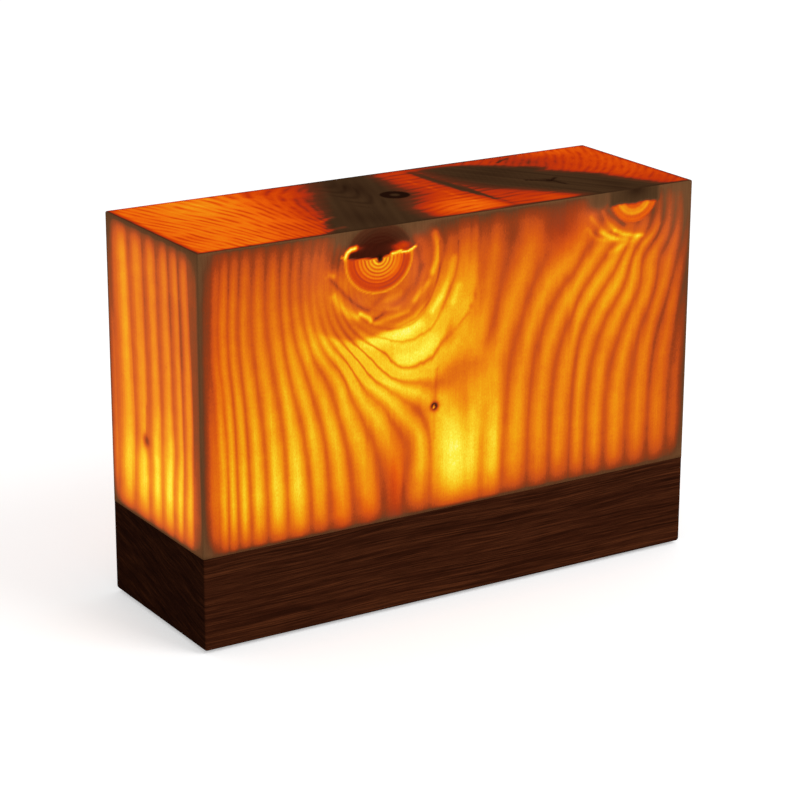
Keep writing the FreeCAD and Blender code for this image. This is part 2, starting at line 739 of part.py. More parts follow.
def make_port_shell():
    """Drawn steel shell, open towards the plug and closed behind."""
    shell = stadium(port_x, PORT_WIDTH, PORT_HEIGHT, flange_y, PORT_DEPTH)
    width, height = PORT_WIDTH - 2 * PORT_SKIN, PORT_HEIGHT - 2 * PORT_SKIN
    return shell.cut(stadium(port_x, width, height, flange_y, PORT_DEPTH - PORT_SKIN))


def make_port_tongue():
    """Contact tongue in the middle of the shell."""
    back_y = flange_y - PORT_DEPTH + PORT_SKIN
    half_x, half_z = TONGUE_WIDTH / 2, TONGUE_THICK / 2
    return block(
        (port_x - half_x, back_y, fitting_z - half_z),
        (port_x + half_x, back_y + TONGUE_LENGTH, fitting_z + half_z),
    )


# Leads: round wires on straight runs joined by tangent arcs

def lead(name, points):
    """Wire along points, each corner rounded as far as its two runs allow."""
    points = [Vector(*p) for p in points]
    edges, last, radii = [], points[0], []
    for before, corner, after in zip(points, points[1:], points[2:]):
        u, v = (before - corner), (after - corner)
        reach = 0.45 * min(u.Length, v.Length)
        u.normalize()
        v.normalize()
        bisector = u + v
        half_turn = bisector.getAngle(u)
        bisector.normalize()
        radius = reach * math.tan(half_turn)
        middle = corner + bisector * (reach / math.cos(half_turn) - radius)
        start, end = corner + u * reach, corner + v * reach
        edges.append(Part.LineSegment(last, start).toShape())
        edges.append(Part.Arc(start, middle, end).toShape())
        radii.append(radius)
        last = end
    edges.append(Part.LineSegment(last, points[-1]).toShape())
    path = Part.Wire(edges)
    heading = points[1] - points[0]
    profile = Part.Wire(Part.makeCircle(LEAD_DIAMETER / 2, points[0], heading))
    wire = Part.makeSolid(path.makePipeShell([profile], True, False))
    plain = math.pi * LEAD_DIAMETER ** 2 / 4 * path.Length
    print("%s: length %.1f mm, volume %.4f of section times length, least radius %.1f mm"
          % (name, path.Length, wire.Volume / plain, min(radii)))
    return wire


def to_socket(name, side):
    """The end of a lead: along under the control board, then up into its socket.

    The red lead of a pair, side +1, runs above the black one, side -1.
    """
    x = socket_x0 + SOCKET_LENGTH / 2
    y = socket_y[name] + side * LEAD_PITCH / 2
    level = socket_low_z - LEAD_DROP + side * LEAD_PITCH / 2
    return [(x, y, level), (x, y, socket_low_z)]


def lamp_lead(name, side):
    """From the light board down through the grommet to the control board."""
    start_x = light_socket_x - SOCKET_LENGTH / 2
    start_y = light_socket_y - side * LEAD_PITCH / 2
    down_x = grommet_x + side * LEAD_PITCH / 2
    end = to_socket("lamp", side)
    return lead(name, [
        (start_x, start_y, light_socket_z),
        ((start_x + grommet_x) / 2, start_y, light_socket_z),
        (down_x, (start_y + grommet_y) / 2, light_socket_z + LEAD_RISE),
        (down_x, grommet_y, light_socket_z - LEAD_RISE),
        (down_x, grommet_y - FIT, end[0][2]),
    ] + end)


def positive_lead(name):
    """From the raised ends of the cells to the control board."""
    start_x = holder_x1 + CONTACT_TAIL_REACH
    end = to_socket("battery", 1)
    return lead(name, [
        (start_x, 0, cell_z),
        (start_x + LEAD_STRAIGHT, 0, cell_z),
        (start_x + 2 * LEAD_STRAIGHT, 0, end[0][2]),
    ] + end)


def negative_lead(name):
    """From the flat ends of the cells, under the rib between them, to the control board."""
    start_x = holder_x0 - LEAD_CORNER
    low_z = holder_low_z - LEAD_DIAMETER - FIT
    end = to_socket("battery", -1)
    return lead(name, [
        (start_x, 0, cell_z - CONTACT_THICK / 2),
        (start_x, 0, low_z + LEAD_CORNER),
        (start_x + LEAD_CORNER, 0, low_z),
        (holder_x1, 0, low_z - FIT),
    ] + end)


def charge_lead(name, side):
    """From the charging socket to the control board."""
    z = fitting_z + side * LEAD_PITCH / 2
    start = [(port_x, y, z) for y in (barrel_end_y, barrel_end_y - LEAD_STRAIGHT)]
    return lead(name, start + to_socket("charge", side))


def switch_lead(name, side):
    """From the push button to the control board."""
    z = fitting_z + side * TERMINAL_SPACING / 2
    start_y = barrel_end_y - TERMINAL_LENGTH
    start = [(button_x, y, z) for y in (start_y, start_y - LEAD_STRAIGHT / 2)]
    return lead(name, start + to_socket("switch", side))


# Every node of the lamp, by name

def make_parts():
    """All sub-parts of the lamp: node name to shape."""
    parts = {
        "pine_shade": make_shade(),
        "walnut_base": make_base(),
        "bottom_cover": make_cover(),
        "cover_screws": make_cover_screws(),
        "cover_inserts": make_cover_inserts(),
        "light_deck": make_deck(),
        "deck_screws": make_deck_screws(),
        "light_board": make_light_board(),
        "light_board_screws": make_light_screws(),
        "light_emitters": make_emitters(),
        "light_socket": make_light_socket(),
        "lead_grommet": make_grommet(),
        "battery_holder": make_holder(),
        "battery_holder_screws": make_holder_screws(),
        "negative_contact": make_negative_contact(),
        "positive_contact": make_positive_contact(),
        "control_board": make_control_board(),
        "board_spacers": make_spacers(),
        "board_screws": make_board_screws(),
        "board_sockets": make_board_sockets(),
        "board_coil": make_coil(),
        "board_chips": make_chips(),
        "board_capacitors": make_capacitors(),
        "button_barrel": make_button_barrel(),
        "button_nut": nut(button_x),
        "button_cap": make_button_cap(),
        "button_spring": make_spring(),
        "button_light_ring": make_light_ring(),
        "switch_block": make_switch_block(),
        "switch_terminals": make_terminals(),
        "port_barrel": barrel(port_x, barrel_bore),
        "port_nut": nut(port_x),
        "port_core": make_port_core(),
        "port_shell": make_port_shell(),
        "port_tongue": make_port_tongue(),
        "battery_lead_red": positive_lead("battery_lead_red"),
        "battery_lead_black": negative_lead("battery_lead_black"),
    }
    for number, (x, y) in enumerate(foot_spots, 1):
        parts["rubber_foot_%d" % number] = make_foot(x, y)
    for number, side in enumerate((-1, 1), 1):
        parts["battery_cell_%d" % number] = make_cell(side)
    for colour, side in (("red", 1), ("black", -1)):
        for kind, route in (("lamp", lamp_lead), ("charge", charge_lead), ("switch", switch_lead)):
            name = "%s_lead_%s" % (kind, colour)
            parts[name] = route(name, side)
    return parts


os.makedirs("parts", exist_ok=True)
for node, shape in make_parts().items():
    state = "good" if shape.isValid() and min(s.Volume for s in shape.Solids) > 0 else "NOT VALID"
    print("%-22s solids %2d  volume %10.2f mm3  %s" % (node, len(shape.Solids), shape.Volume, state))
    shape.exportStep("parts/%s.step" % node)
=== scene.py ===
# %% [markdown]
# # A table lamp cut from a block of pine
#
# The lamp is a hollow block of pine that glows from within, set flush on a block of
# dark walnut. The walnut hides the cells, the control board, a push button and a
# charging socket. The frame brings every solid piece to its place, in metres, so this
# script only has to dress it: a finer skin for the pine, and a finish for each piece.

# %% Load the frame
import json
from math import radians

import bpy
import numpy as np
from mathutils import Matrix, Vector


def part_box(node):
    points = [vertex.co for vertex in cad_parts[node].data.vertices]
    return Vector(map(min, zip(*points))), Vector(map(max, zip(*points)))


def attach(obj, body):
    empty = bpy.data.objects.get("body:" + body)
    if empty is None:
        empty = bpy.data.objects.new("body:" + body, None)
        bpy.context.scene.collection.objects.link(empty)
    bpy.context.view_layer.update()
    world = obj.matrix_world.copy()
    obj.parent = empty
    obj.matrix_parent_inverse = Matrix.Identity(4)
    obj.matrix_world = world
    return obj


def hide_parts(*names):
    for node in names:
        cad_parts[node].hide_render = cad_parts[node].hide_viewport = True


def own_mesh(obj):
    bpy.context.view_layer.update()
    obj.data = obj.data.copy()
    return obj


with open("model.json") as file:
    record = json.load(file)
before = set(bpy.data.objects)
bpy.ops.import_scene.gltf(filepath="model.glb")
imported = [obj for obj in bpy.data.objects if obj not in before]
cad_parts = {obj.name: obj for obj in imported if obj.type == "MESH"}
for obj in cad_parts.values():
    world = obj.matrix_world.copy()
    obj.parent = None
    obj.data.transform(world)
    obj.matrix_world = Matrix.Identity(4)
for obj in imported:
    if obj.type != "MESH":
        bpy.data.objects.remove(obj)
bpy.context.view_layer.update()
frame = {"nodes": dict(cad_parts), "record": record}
scene = bpy.context.scene

# %% [markdown]
# ## The camera
#
# The view looks down on the left front corner of the block. A long lens keeps the
# upright edges nearly parallel. The camera could be aimed with a constraint, but its
# heading, its fall and its slight roll are known angles, so three turns and one move
# put it in place.

# %% Camera
CAMERA_HEADING, CAMERA_FALL, CAMERA_ROLL = radians(-31.98), radians(18.08), radians(0.21)
CAMERA_PLACE = (-0.5745, -0.9159, 0.4297)
LENS, SENSOR = 119.09, 36.0


def stand(name, data):
    """A new object with that data, at the origin of the scene."""
    made = bpy.data.objects.new(name, data)
    scene.collection.objects.link(made)
    return made


lens = bpy.data.cameras.new("portrait_lens")
lens.lens, lens.sensor_width = LENS, SENSOR
camera = stand("portrait_camera", lens)
camera.matrix_world = (Matrix.Translation(CAMERA_PLACE) @ Matrix.Rotation(CAMERA_HEADING, 4, "Z")
                       @ Matrix.Rotation(radians(90) - CAMERA_FALL, 4, "X")
                       @ Matrix.Rotation(CAMERA_ROLL, 4, "Z"))
scene.camera = camera
scene.view_settings.view_transform = "Standard"
print("camera at", CAMERA_PLACE, "with a", LENS, "mm lens")

# %% [markdown]
# ## A small kit for finishes
#
# Every finish here is a Principled shader with a few nodes in front of it. Wiring nodes
# one by one hides the idea, so this class gives each kind of node a short method. An
# input that is a socket is linked, and any other value is simply set.

# %% Finishes
def tint(red, green, blue):
    """A screen colour of 0 to 255 as the linear colour that shaders use."""
    share = np.array([red, green, blue]) / 255
    linear = np.where(share > 0.04045, ((share + 0.055) / 1.055) ** 2.4, share / 12.92)
    return (*linear.tolist(), 1.0)


class Finish:
    """One procedural material: a Principled shader and the nodes that feed it."""

    def __init__(self, name, **values):
        self.material = bpy.data.materials.new(name)
        self.material.use_nodes = True
        self.tree = self.material.node_tree
        self.shader = self.tree.nodes["Principled BSDF"]
        self.set(**values)

    def set(self, **values):
        """Sets or links the shader's sockets; an underscore in a name stands for a blank."""
        for name, value in values.items():
            self.join(value, self.shader.inputs[name.replace("_", " ")])

    def join(self, value, socket):
        if isinstance(value, bpy.types.NodeSocket):
            self.tree.links.new(value, socket)
        else:
            socket.default_value = value

    def node(self, kind, inputs, output=0, **settings):
        """A node of that kind with its settings, its inputs by name or number, and one output."""
        made = self.tree.nodes.new("ShaderNode" + kind)
        for name, value in settings.items():
            setattr(made, name, value)
        for key, value in inputs.items():
            self.join(value, made.inputs[key])
        return made.outputs[output]

    def math(self, operation, *values):
        return self.node("Math", dict(enumerate(values)), operation=operation)

    def plus(self, total, *others):
        for value in others:
            total = self.math("ADD", total, value)
        return total

    def times(self, first, second):
        return self.math("MULTIPLY", first, second)

    def minus(self, first, second):
        return self.math("SUBTRACT", first, second)

    def attribute(self, name):
        return self.node("Attribute", {}, output="Fac", attribute_name=name)

    def place(self, scale=(1000, 1000, 1000), offset=(0, 0, 0), turn=(0, 0, 0)):
        """The object's own coordinates, in millimetres unless scaled otherwise."""
        spot = self.node("TexCoord", {}, output="Object")
        return self.node("Mapping", {"Vector": spot, "Scale": scale, "Location": offset,
                                     "Rotation": turn})

    def noise(self, place, scale=1.0, detail=2.0, roughness=0.5):
        return self.node("TexNoise", {"Vector": place, "Scale": scale, "Detail": detail,
                                      "Roughness": roughness})

    def ramp(self, value, stops, ease="LINEAR"):
        """A colour for each value, mixed between the stops (place, colour)."""
        made = self.tree.nodes.new("ShaderNodeValToRGB")
        band = made.color_ramp
        band.interpolation = ease
        for _ in stops[2:]:
            band.elements.new(0.5)
        for element, (place, colour) in zip(band.elements, stops):
            element.position, element.color = place, colour
        self.join(value, made.inputs[0])
        return made.outputs[0]

    def grade(self, value, *stops, ease="LINEAR"):
        """The same ramp for plain numbers."""
        return self.ramp(value, [(place, (level, level, level, 1)) for place, level in stops], ease)

    def mix(self, share, first, second):
        return self.node("Mix", {0: share, 6: first, 7: second}, output=2, data_type="RGBA")

    def bump(self, height, depth):
        """Fine relief whose full height is depth metres."""
        self.set(Normal=self.node("Bump", {"Height": height, "Distance": depth, "Strength": 1.0}))


def dress(finish, *names):
    """Gives the named pieces of the frame a finish."""
    for name in names:
        for slot in frame["nodes"][name].material_slots:
            slot.material = finish.material


print("finishes are ready")

# %% [markdown]
# ## Floor and light
#
# The lamp stands on a white sweep in even light. A large lamp from the right gives the
# walnut front a little more light than its end. The floor keeps the soft shadow under
# the feet. Only for the camera does it add the last bit that makes it white, so that it
# throws no extra light on the wood.

# %% Floor
FLOOR_HALF, FLOOR_BOOST = 6.0, 0.40
CORNERS = ((-1, -1), (1, -1), (1, 1), (-1, 1))

floor_mesh = bpy.data.meshes.new("pale_floor")
floor_mesh.from_pydata([(a * FLOOR_HALF, b * FLOOR_HALF, 0) for a, b in CORNERS], [], [(0, 1, 2, 3)])
floor = stand("pale_floor", floor_mesh)
paper = Finish("white_paper", Base_Color=tint(236, 236, 236), Roughness=0.9, Specular_IOR_Level=0.1,
               Emission_Color=(1, 1, 1, 1))
seen = paper.node("LightPath", {}, output="Is Camera Ray")
paper.set(Emission_Strength=paper.times(seen, FLOOR_BOOST))
floor_mesh.materials.append(paper.material)
print("floor", 2 * FLOOR_HALF, "m wide")

# %% Light
ROOM_LIGHT = 0.68
KEY_PLACE, KEY_AIM = (0.9, -1.5, 1.5), (0.0, 0.0, 0.08)
KEY_POWER, KEY_WIDTH = 20.0, 1.2

world = bpy.data.worlds.new("studio")
world.use_nodes = True
scene.world = world
sky = world.node_tree
rays = sky.nodes.new("ShaderNodeLightPath")
white = rays.outputs["Is Camera Ray"]
for ray in ("Is Glossy Ray", "Is Transmission Ray"):
    either = sky.nodes.new("ShaderNodeMath")
    either.operation = "MAXIMUM"
    sky.links.new(white, either.inputs[0])
    sky.links.new(rays.outputs[ray], either.inputs[1])
    white = either.outputs[0]
level = sky.nodes.new("ShaderNodeMapRange")
level.inputs["To Min"].default_value = ROOM_LIGHT
level.inputs["To Max"].default_value = 1.0
sky.links.new(white, level.inputs["Value"])
sky.nodes["Background"].inputs["Color"].default_value = (1, 1, 1, 1)
sky.links.new(level.outputs[0], sky.nodes["Background"].inputs["Strength"])

key = bpy.data.lights.new("soft_key", "AREA")
key.energy, key.size = KEY_POWER, KEY_WIDTH
key_lamp = stand("soft_key", key)
key_lamp.location = KEY_PLACE
aim = Matrix.Translation(KEY_AIM).translation - key_lamp.location
key_lamp.rotation_euler = aim.to_track_quat("-Z", "Y").to_euler()
print("room light", ROOM_LIGHT, "and a key lamp of", KEY_POWER, "W")

# %% [markdown]
# ## The skin of the pine block
#
# The block has sharp but softened edges and thin walls. A cube with a bevel would do for
# the outline, but the glow needs points all over the faces, close together round the
# knots, to carry how bright the wood is there. So each skin is a grid: a strip of
# columns round the four sides and a sheet over the top that shares its last row. The
# outer skin, the cavity with a single face for its ceiling, and the rim between them
# make one closed shell.

# %% Block sizes, in millimetres
low, high = (np.array(corner) * 1000 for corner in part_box("pine_shade"))
LENGTH, DEPTH, HEIGHT = high - low
WALL, CAVITY_CORNER, EDGE = 5.0, 5.0, 0.8
print("pine block %.1f x %.1f x %.1f mm" % (LENGTH, DEPTH, HEIGHT))


# %% Grid places
def spread(length, gap, zones=(), ends=(EDGE, EDGE)):
    """Places from 0 to length, a gap apart, or closer inside each zone (start, end, gap).
    The gaps are summed up as a count along the length, and whole counts are read back.
    Three places on each rounded end follow the rounding."""
    stride, clear = 0.05, 0.3
    along = np.arange(0, length, stride)
    gaps = np.full_like(along, gap)
    for start, end, fine in zones:
        gaps[(along > start) & (along < end)] = fine
    count = np.cumsum(stride / gaps)
    places = np.interp(np.linspace(0, count[-1], round(count[-1]) + 1), count, along)
    places = places[(places > ends[0] + clear) & (places < length - ends[1] - clear)]
    first = [0, 0.4 * ends[0], ends[0]] if ends[0] else [0]
    last = [length - ends[1], length - 0.4 * ends[1], length] if ends[1] else [length]
    return np.concatenate([first, places, last])


across = spread(LENGTH, 1.8, [(54, 125, 0.7), (184, 224, 0.9)])
deep = spread(DEPTH, 1.5, [(28, 54, 1.0)])
down = spread(HEIGHT, 1.8, [(0, 46, 0.7), (75, 96, 0.8)], ends=(EDGE, 0))
print(len(across), "columns on the long faces,", len(deep), "on the ends,", len(down), "rows")


# %% Skins
def round_walk(nx, ny):
    """The border of an nx by ny grid as (column, row) pairs, once round from the front left."""
    front = [np.arange(nx), np.zeros(nx, int)]
    right = [np.full(ny - 1, nx - 1), np.arange(1, ny)]
    back = [np.arange(nx - 2, -1, -1), np.full(nx - 1, ny - 1)]
    left = [np.zeros(ny - 2, int), np.arange(ny - 2, 0, -1)]
    return np.concatenate([front, right, back, left], axis=1)


def quads(*corners):
    """Four-sided faces from four arrays of point numbers, one array for each corner."""
    return np.stack(corners, axis=-1).reshape(-1, 4)


def wall(xs, ys, zs):
    """Strips round the four sides, row by row upwards: points, and four-sided faces that look out."""
    walk = round_walk(len(xs), len(ys))
    ring_size = walk.shape[1]
    points = np.stack([np.tile(xs[walk[0]], (len(zs), 1)), np.tile(ys[walk[1]], (len(zs), 1)),
                       np.tile(zs[:, None], (1, ring_size))], axis=-1).reshape(-1, 3)
    turn = np.arange(len(points)).reshape(len(zs), ring_size)
    after = np.roll(turn, -1, axis=1)
    return points, quads(turn[:-1], after[:-1], after[1:], turn[1:])


def sheet(xs, ys, z, border, first):
    """A sheet over the top. Its border is the wall's last row, and its own points count from first."""
    walk = round_walk(len(xs), len(ys))
    sheet_x, sheet_y = np.meshgrid(xs[1:-1], ys[1:-1], indexing="ij")
    points = np.stack([sheet_x, sheet_y, np.full_like(sheet_x, z)], axis=-1).reshape(-1, 3)
    grid = np.empty((len(xs), len(ys)), int)
    grid[walk[0], walk[1]] = border
    grid[1:-1, 1:-1] = first + np.arange(len(points)).reshape(sheet_x.shape)
    return points, quads(grid[:-1, :-1], grid[1:, :-1], grid[1:, 1:], grid[:-1, 1:])


def soften(points, first, last):
    """Rounds a block's edges: a point is split into its nearest place in the inner box from first to
    last and the rest, and the rest is shortened from a cube's reach to a ball's."""
    inner = np.clip(points, first, last)
    rest = points - inner
    reach = np.linalg.norm(rest, axis=1, keepdims=True)
    return inner + rest * np.abs(rest).max(axis=1, keepdims=True) / np.maximum(reach, 1e-9)


def skin(name, points, faces):
    """A smooth new object of points and faces, unturned and unscaled at the origin."""
    mesh = bpy.data.meshes.new(name)
    mesh.from_pydata(points, [], faces)
    mesh.polygons.foreach_set("use_smooth", np.ones(len(faces), bool))
    return stand(name, mesh)


box_x, box_y, box_z = low[0] + across, low[1] + deep, high[2] - down[::-1]
sides, side_faces = wall(box_x, box_y, box_z)
strip_size = len(sides) // len(down)
upper_row = np.arange(len(sides) - strip_size, len(sides))
top, top_faces = sheet(box_x, box_y, box_z[-1], upper_row, len(sides))
shrink = 1 - 2 * WALL / np.array([LENGTH, DEPTH])
cavity_z = np.linspace(low[2], high[2] - WALL, 6)
cavity, cavity_faces = wall(box_x * shrink[0], box_y * shrink[1], cavity_z)
ceiling = np.arange(len(cavity) - strip_size, len(cavity))
print(len(sides), "points on the sides,", len(top), "on the top,", len(cavity), "inside")

# %% [markdown]
# ## What the light shows in the wood
#
# Lit from within, pine shows its history: a thin wall glows yellow between the growth
# rings, red where the wood is dense or thick, and stays dark at knots and corners. Each
# face gets its own drawing, worked out as whole arrays of points in millimetres:
#
# - ring counts growth rings, so that its whole numbers are the dark lines
# - light is how much of the lamp comes through, line how much of it a ring takes away
# - band turns thin lines into broad bands, hue makes the light redder
# - dark is how dark the wood itself is, and in the cracks painted shade, veil how far it shows in spite of
#   the light
# - sink is how deep a crack goes

# %% Tools for drawing on a face
FIELDS = ("ring", "light", "line", "band", "hue", "dark", "veil", "sink")


def step(start, end, value):
    """0 before start, 1 after end, and a smooth S between them; end may be the smaller one."""
    share = np.clip((value - start) / (end - start), 0, 1)
    return share * share * (3 - 2 * share)


def window(value, start, full, fade, end):
    """Rises from start to full and falls again from fade to end."""
    return step(start, full, value) * step(end, fade, value)


def to_edge(u, v, wide, tall):
    """How far a point lies from the nearest edge of its face."""
    return np.minimum(np.minimum(u, wide - u), np.minimum(v, tall - v))


def dim(share, reach, power, distance):
    """The light left near an edge: the share is lost at the edge, and ever less of it farther in."""
    return 1 - share * np.exp(-(np.maximum(distance, 0) / reach) ** power)


def pools(u, v, spots):
    """A sum of soft oval spots, each (centre u, centre v, half width, half height, gain)."""
    return sum(gain * np.exp(-((u - a) / wide) ** 2 - ((v - b) / tall) ** 2)
               for a, b, wide, tall, gain in spots)


def streak(u, v, width, *points):
    """A soft line through the points: a bell curve of the distance to the nearest stretch."""
    near = np.full(np.shape(u), 1e9)
    for (a, b), (c, d) in zip(points, points[1:]):
        share = np.clip(((u - a) * (c - a) + (v - b) * (d - b)) / ((c - a) ** 2 + (d - b) ** 2), 0, 1)
        near = np.minimum(near, np.hypot(u - a - share * (c - a), v - b - share * (d - b)))
    return np.exp(-(near / width) ** 2)


def streaks(u, v, rows):
    """A sum of soft lines, each (width, gain, points)."""
    return sum(gain * streak(u, v, width, *points) for width, gain, points in rows)


def plain_face(u):
    """A face with every field at zero."""
    return {name: np.zeros_like(u) for name in FIELDS}


def paint(face, mask, **values):
    """Lays each value over the face where the mask is 1, and mixes between."""
    for name, value in values.items():
        face[name] = face[name] + (value - face[name]) * mask


print("fields on each face:", *FIELDS)

# %% [markdown]
# ### The long front
#
# The saw cut this face far from the heart of the tree, so the rings stand as upright
# lines, widest apart at the middle. Two knots push them aside: the rings bow under each
# knot as water does round a stone. The count of rings is first read off from the line
# places, and each knot then takes rings away with a bell curve of its distance.

# %% Rings and light of the front
HEART_X, HEART_BACK = 125.5, 40.0
FRONT_LEFT_LINES = (0, 18, 31, 41, 54.5, 65.5, 75.5, 86, 95.5, 103.5, 109, 113.5, 118, 123)
FRONT_RIGHT_LINES = (0, 6.5, 18, 30.5, 41.5, 52.5, 60.5, 70.5, 82.5, 94, 105, 114, 122)
HEART_COUNT = 0.35
BIG_KNOT, SMALL_KNOT, PIN_KNOT = (82, 13), (209, 2.3), (109, 80)


def count_lines(distance, places):
    """How many lines lie within a distance, with parts of a count between them."""
    counts = np.arange(len(places), dtype=float)
    counts[0] = HEART_COUNT
    return np.interp(distance, places, counts)


def front_rings(x, v):
    """Line counts to each side of the heart, less a bell round each knot, plus a few soft pushes."""
    side = x + 0.85 * (HEIGHT - v) / HEIGHT - HEART_X
    ring = np.where(side < 0, count_lines(-side, FRONT_LEFT_LINES), count_lines(side, FRONT_RIGHT_LINES))
    from_big = np.hypot(x - 83, (v - 21.3) / np.where(v > 21.3, 1.06, 1.3))
    from_small = np.hypot(x - 199.7, (v - 9.4) / 0.9)
    ring = ring - 12.4 * np.exp(-(from_big / 25.4) ** 1.3) - 3.87 * np.exp(-(from_small / 43) ** 1.77)
    return ring + pools(x, v, [
        (128, 30, 13, 30, 0.67), (131, 66, 9, 12, 0.49), (92, 60, 14, 9, -0.87), (64, 58, 10, 12, 0.45),
        (98, 94, 9, 14, 0.44), (12, 36, 14, 26, -0.49), (112, 8, 9, 9, -0.55), (216, 30, 12, 10, 0.74),
        (106, 30, 6, 8, 0.63),
    ])


def front_light(x, v):
    """A level all over, pale pools under the big knot and at the foot, and dull ones in dense wood."""
    return 0.545 + pools(x, v, [
        (34, 108, 34, 34, 0.26), (118, 106, 13, 27, 0.42), (136, 106, 9, 30, 0.27), (93, 51, 26, 12, 0.26),
        (114, 40, 8, 10, 0.09), (72, 72, 38, 22, 0.15), (89, 112, 4, 16, -0.26), (26, 20, 44, 26, -0.09),
        (172, 11, 16, 12, -0.13), (234, 60, 18, 90, -0.16), (198, 40, 26, 14, 0.12),
        (190, 110, 46, 18, 0.03), (140, 14, 24, 16, -0.06), (132, 64, 12, 6, -0.04),
        (101, 80, 5, 5, -0.12), (54, 16, 12, 14, -0.12),
        (94, 72, 14, 9, 0.16), (54, 106, 7, 20, -0.06), (150, 100, 10, 20, 0.04), (112, 12, 10, 14, -0.10),
        (226, 14, 14, 14, -0.11), (56, 60, 9, 12, -0.08), (126, 30, 6, 12, 0.08),
        (42, 108, 8, 14, 0.11), (56, 45, 14, 8, 0.17), (42, 62, 7, 9, 0.07), (82, 67, 8, 4, 0.06),
        (102, 98, 5, 9, 0.10), (84, 54, 9, 5, -0.06), (79, 90, 6, 9, 0.07), (126, 82, 6, 16, -0.06),
        (18, 104, 6, 8, 0.05), (120, 114, 8, 6, 0.04), (5, 40, 7, 40, -0.05), (114, 3, 6, 6, -0.10),
        (122, 62, 8, 7, -0.07), (114, 76, 4, 5, 0.10),
    ])


def front_lines(x, v, ring):
    """How dark the rings are: fainter at the ends, in the upper left, round the knots and at the foot."""
    line = 0.53 - 0.06 * step(125, 150, x)
    line = line * (1 - 0.6 * step(14, 5, x)) * (1 - 0.3 * step(224, 238, x))
    line = line * (1 - 0.5 * step(-0.6, -2.0, ring))
    line = line * (0.45 + 0.55 * step(0, 12, HEIGHT - v)) * (0.4 + 0.6 * step(0, 14, v))
    return line * (1 - np.minimum(0.95, pools(x, v, [
        (121, 108, 12, 34, 0.75), (90, 70, 20, 10, 0.3), (56, 16, 9, 26, 0.6), (124, 62, 9, 9, 0.6),
        (87, 28, 17, 12, 0.95), (204, 17, 11, 6, 0.9), (123.5, 24, 5.5, 36, 0.85),
        (132, 74, 5, 18, 0.7), (129, 40, 3.5, 22, 0.9), (133, 8, 3, 16, 0.9),
        (119.5, 41, 3.5, 7, 0.9), (36, 26, 42, 36, 0.36)])))


def front_edges(x, v):
    """The light dies away towards the ends, the top and the base, and is gone at the very edge."""
    fade = (0.34 + 0.66 * step(0.5, 11, x)) * (0.45 + 0.55 * step(0, 10, LENGTH - x))
    fade = fade * dim(0.70, 9, 1.25, HEIGHT - v) * dim(0.62 + 0.08 * step(90, 110, x), 11, 1.3, v)
    return fade * step(-1.5, 1.8, to_edge(x, v, LENGTH, HEIGHT))


print(len(FRONT_LEFT_LINES) + len(FRONT_RIGHT_LINES) - 2, "ring lines cross the front")

# %% [markdown]
# ### The knots of the front
#
# A knot is a branch cut across, so it has rings of its own. The upper half of the big
# one is dead, dark wood with a crack under it that lets raw light through. Curled grain
# hangs below it like a cup, and it is drawn with pale and dull streaks.

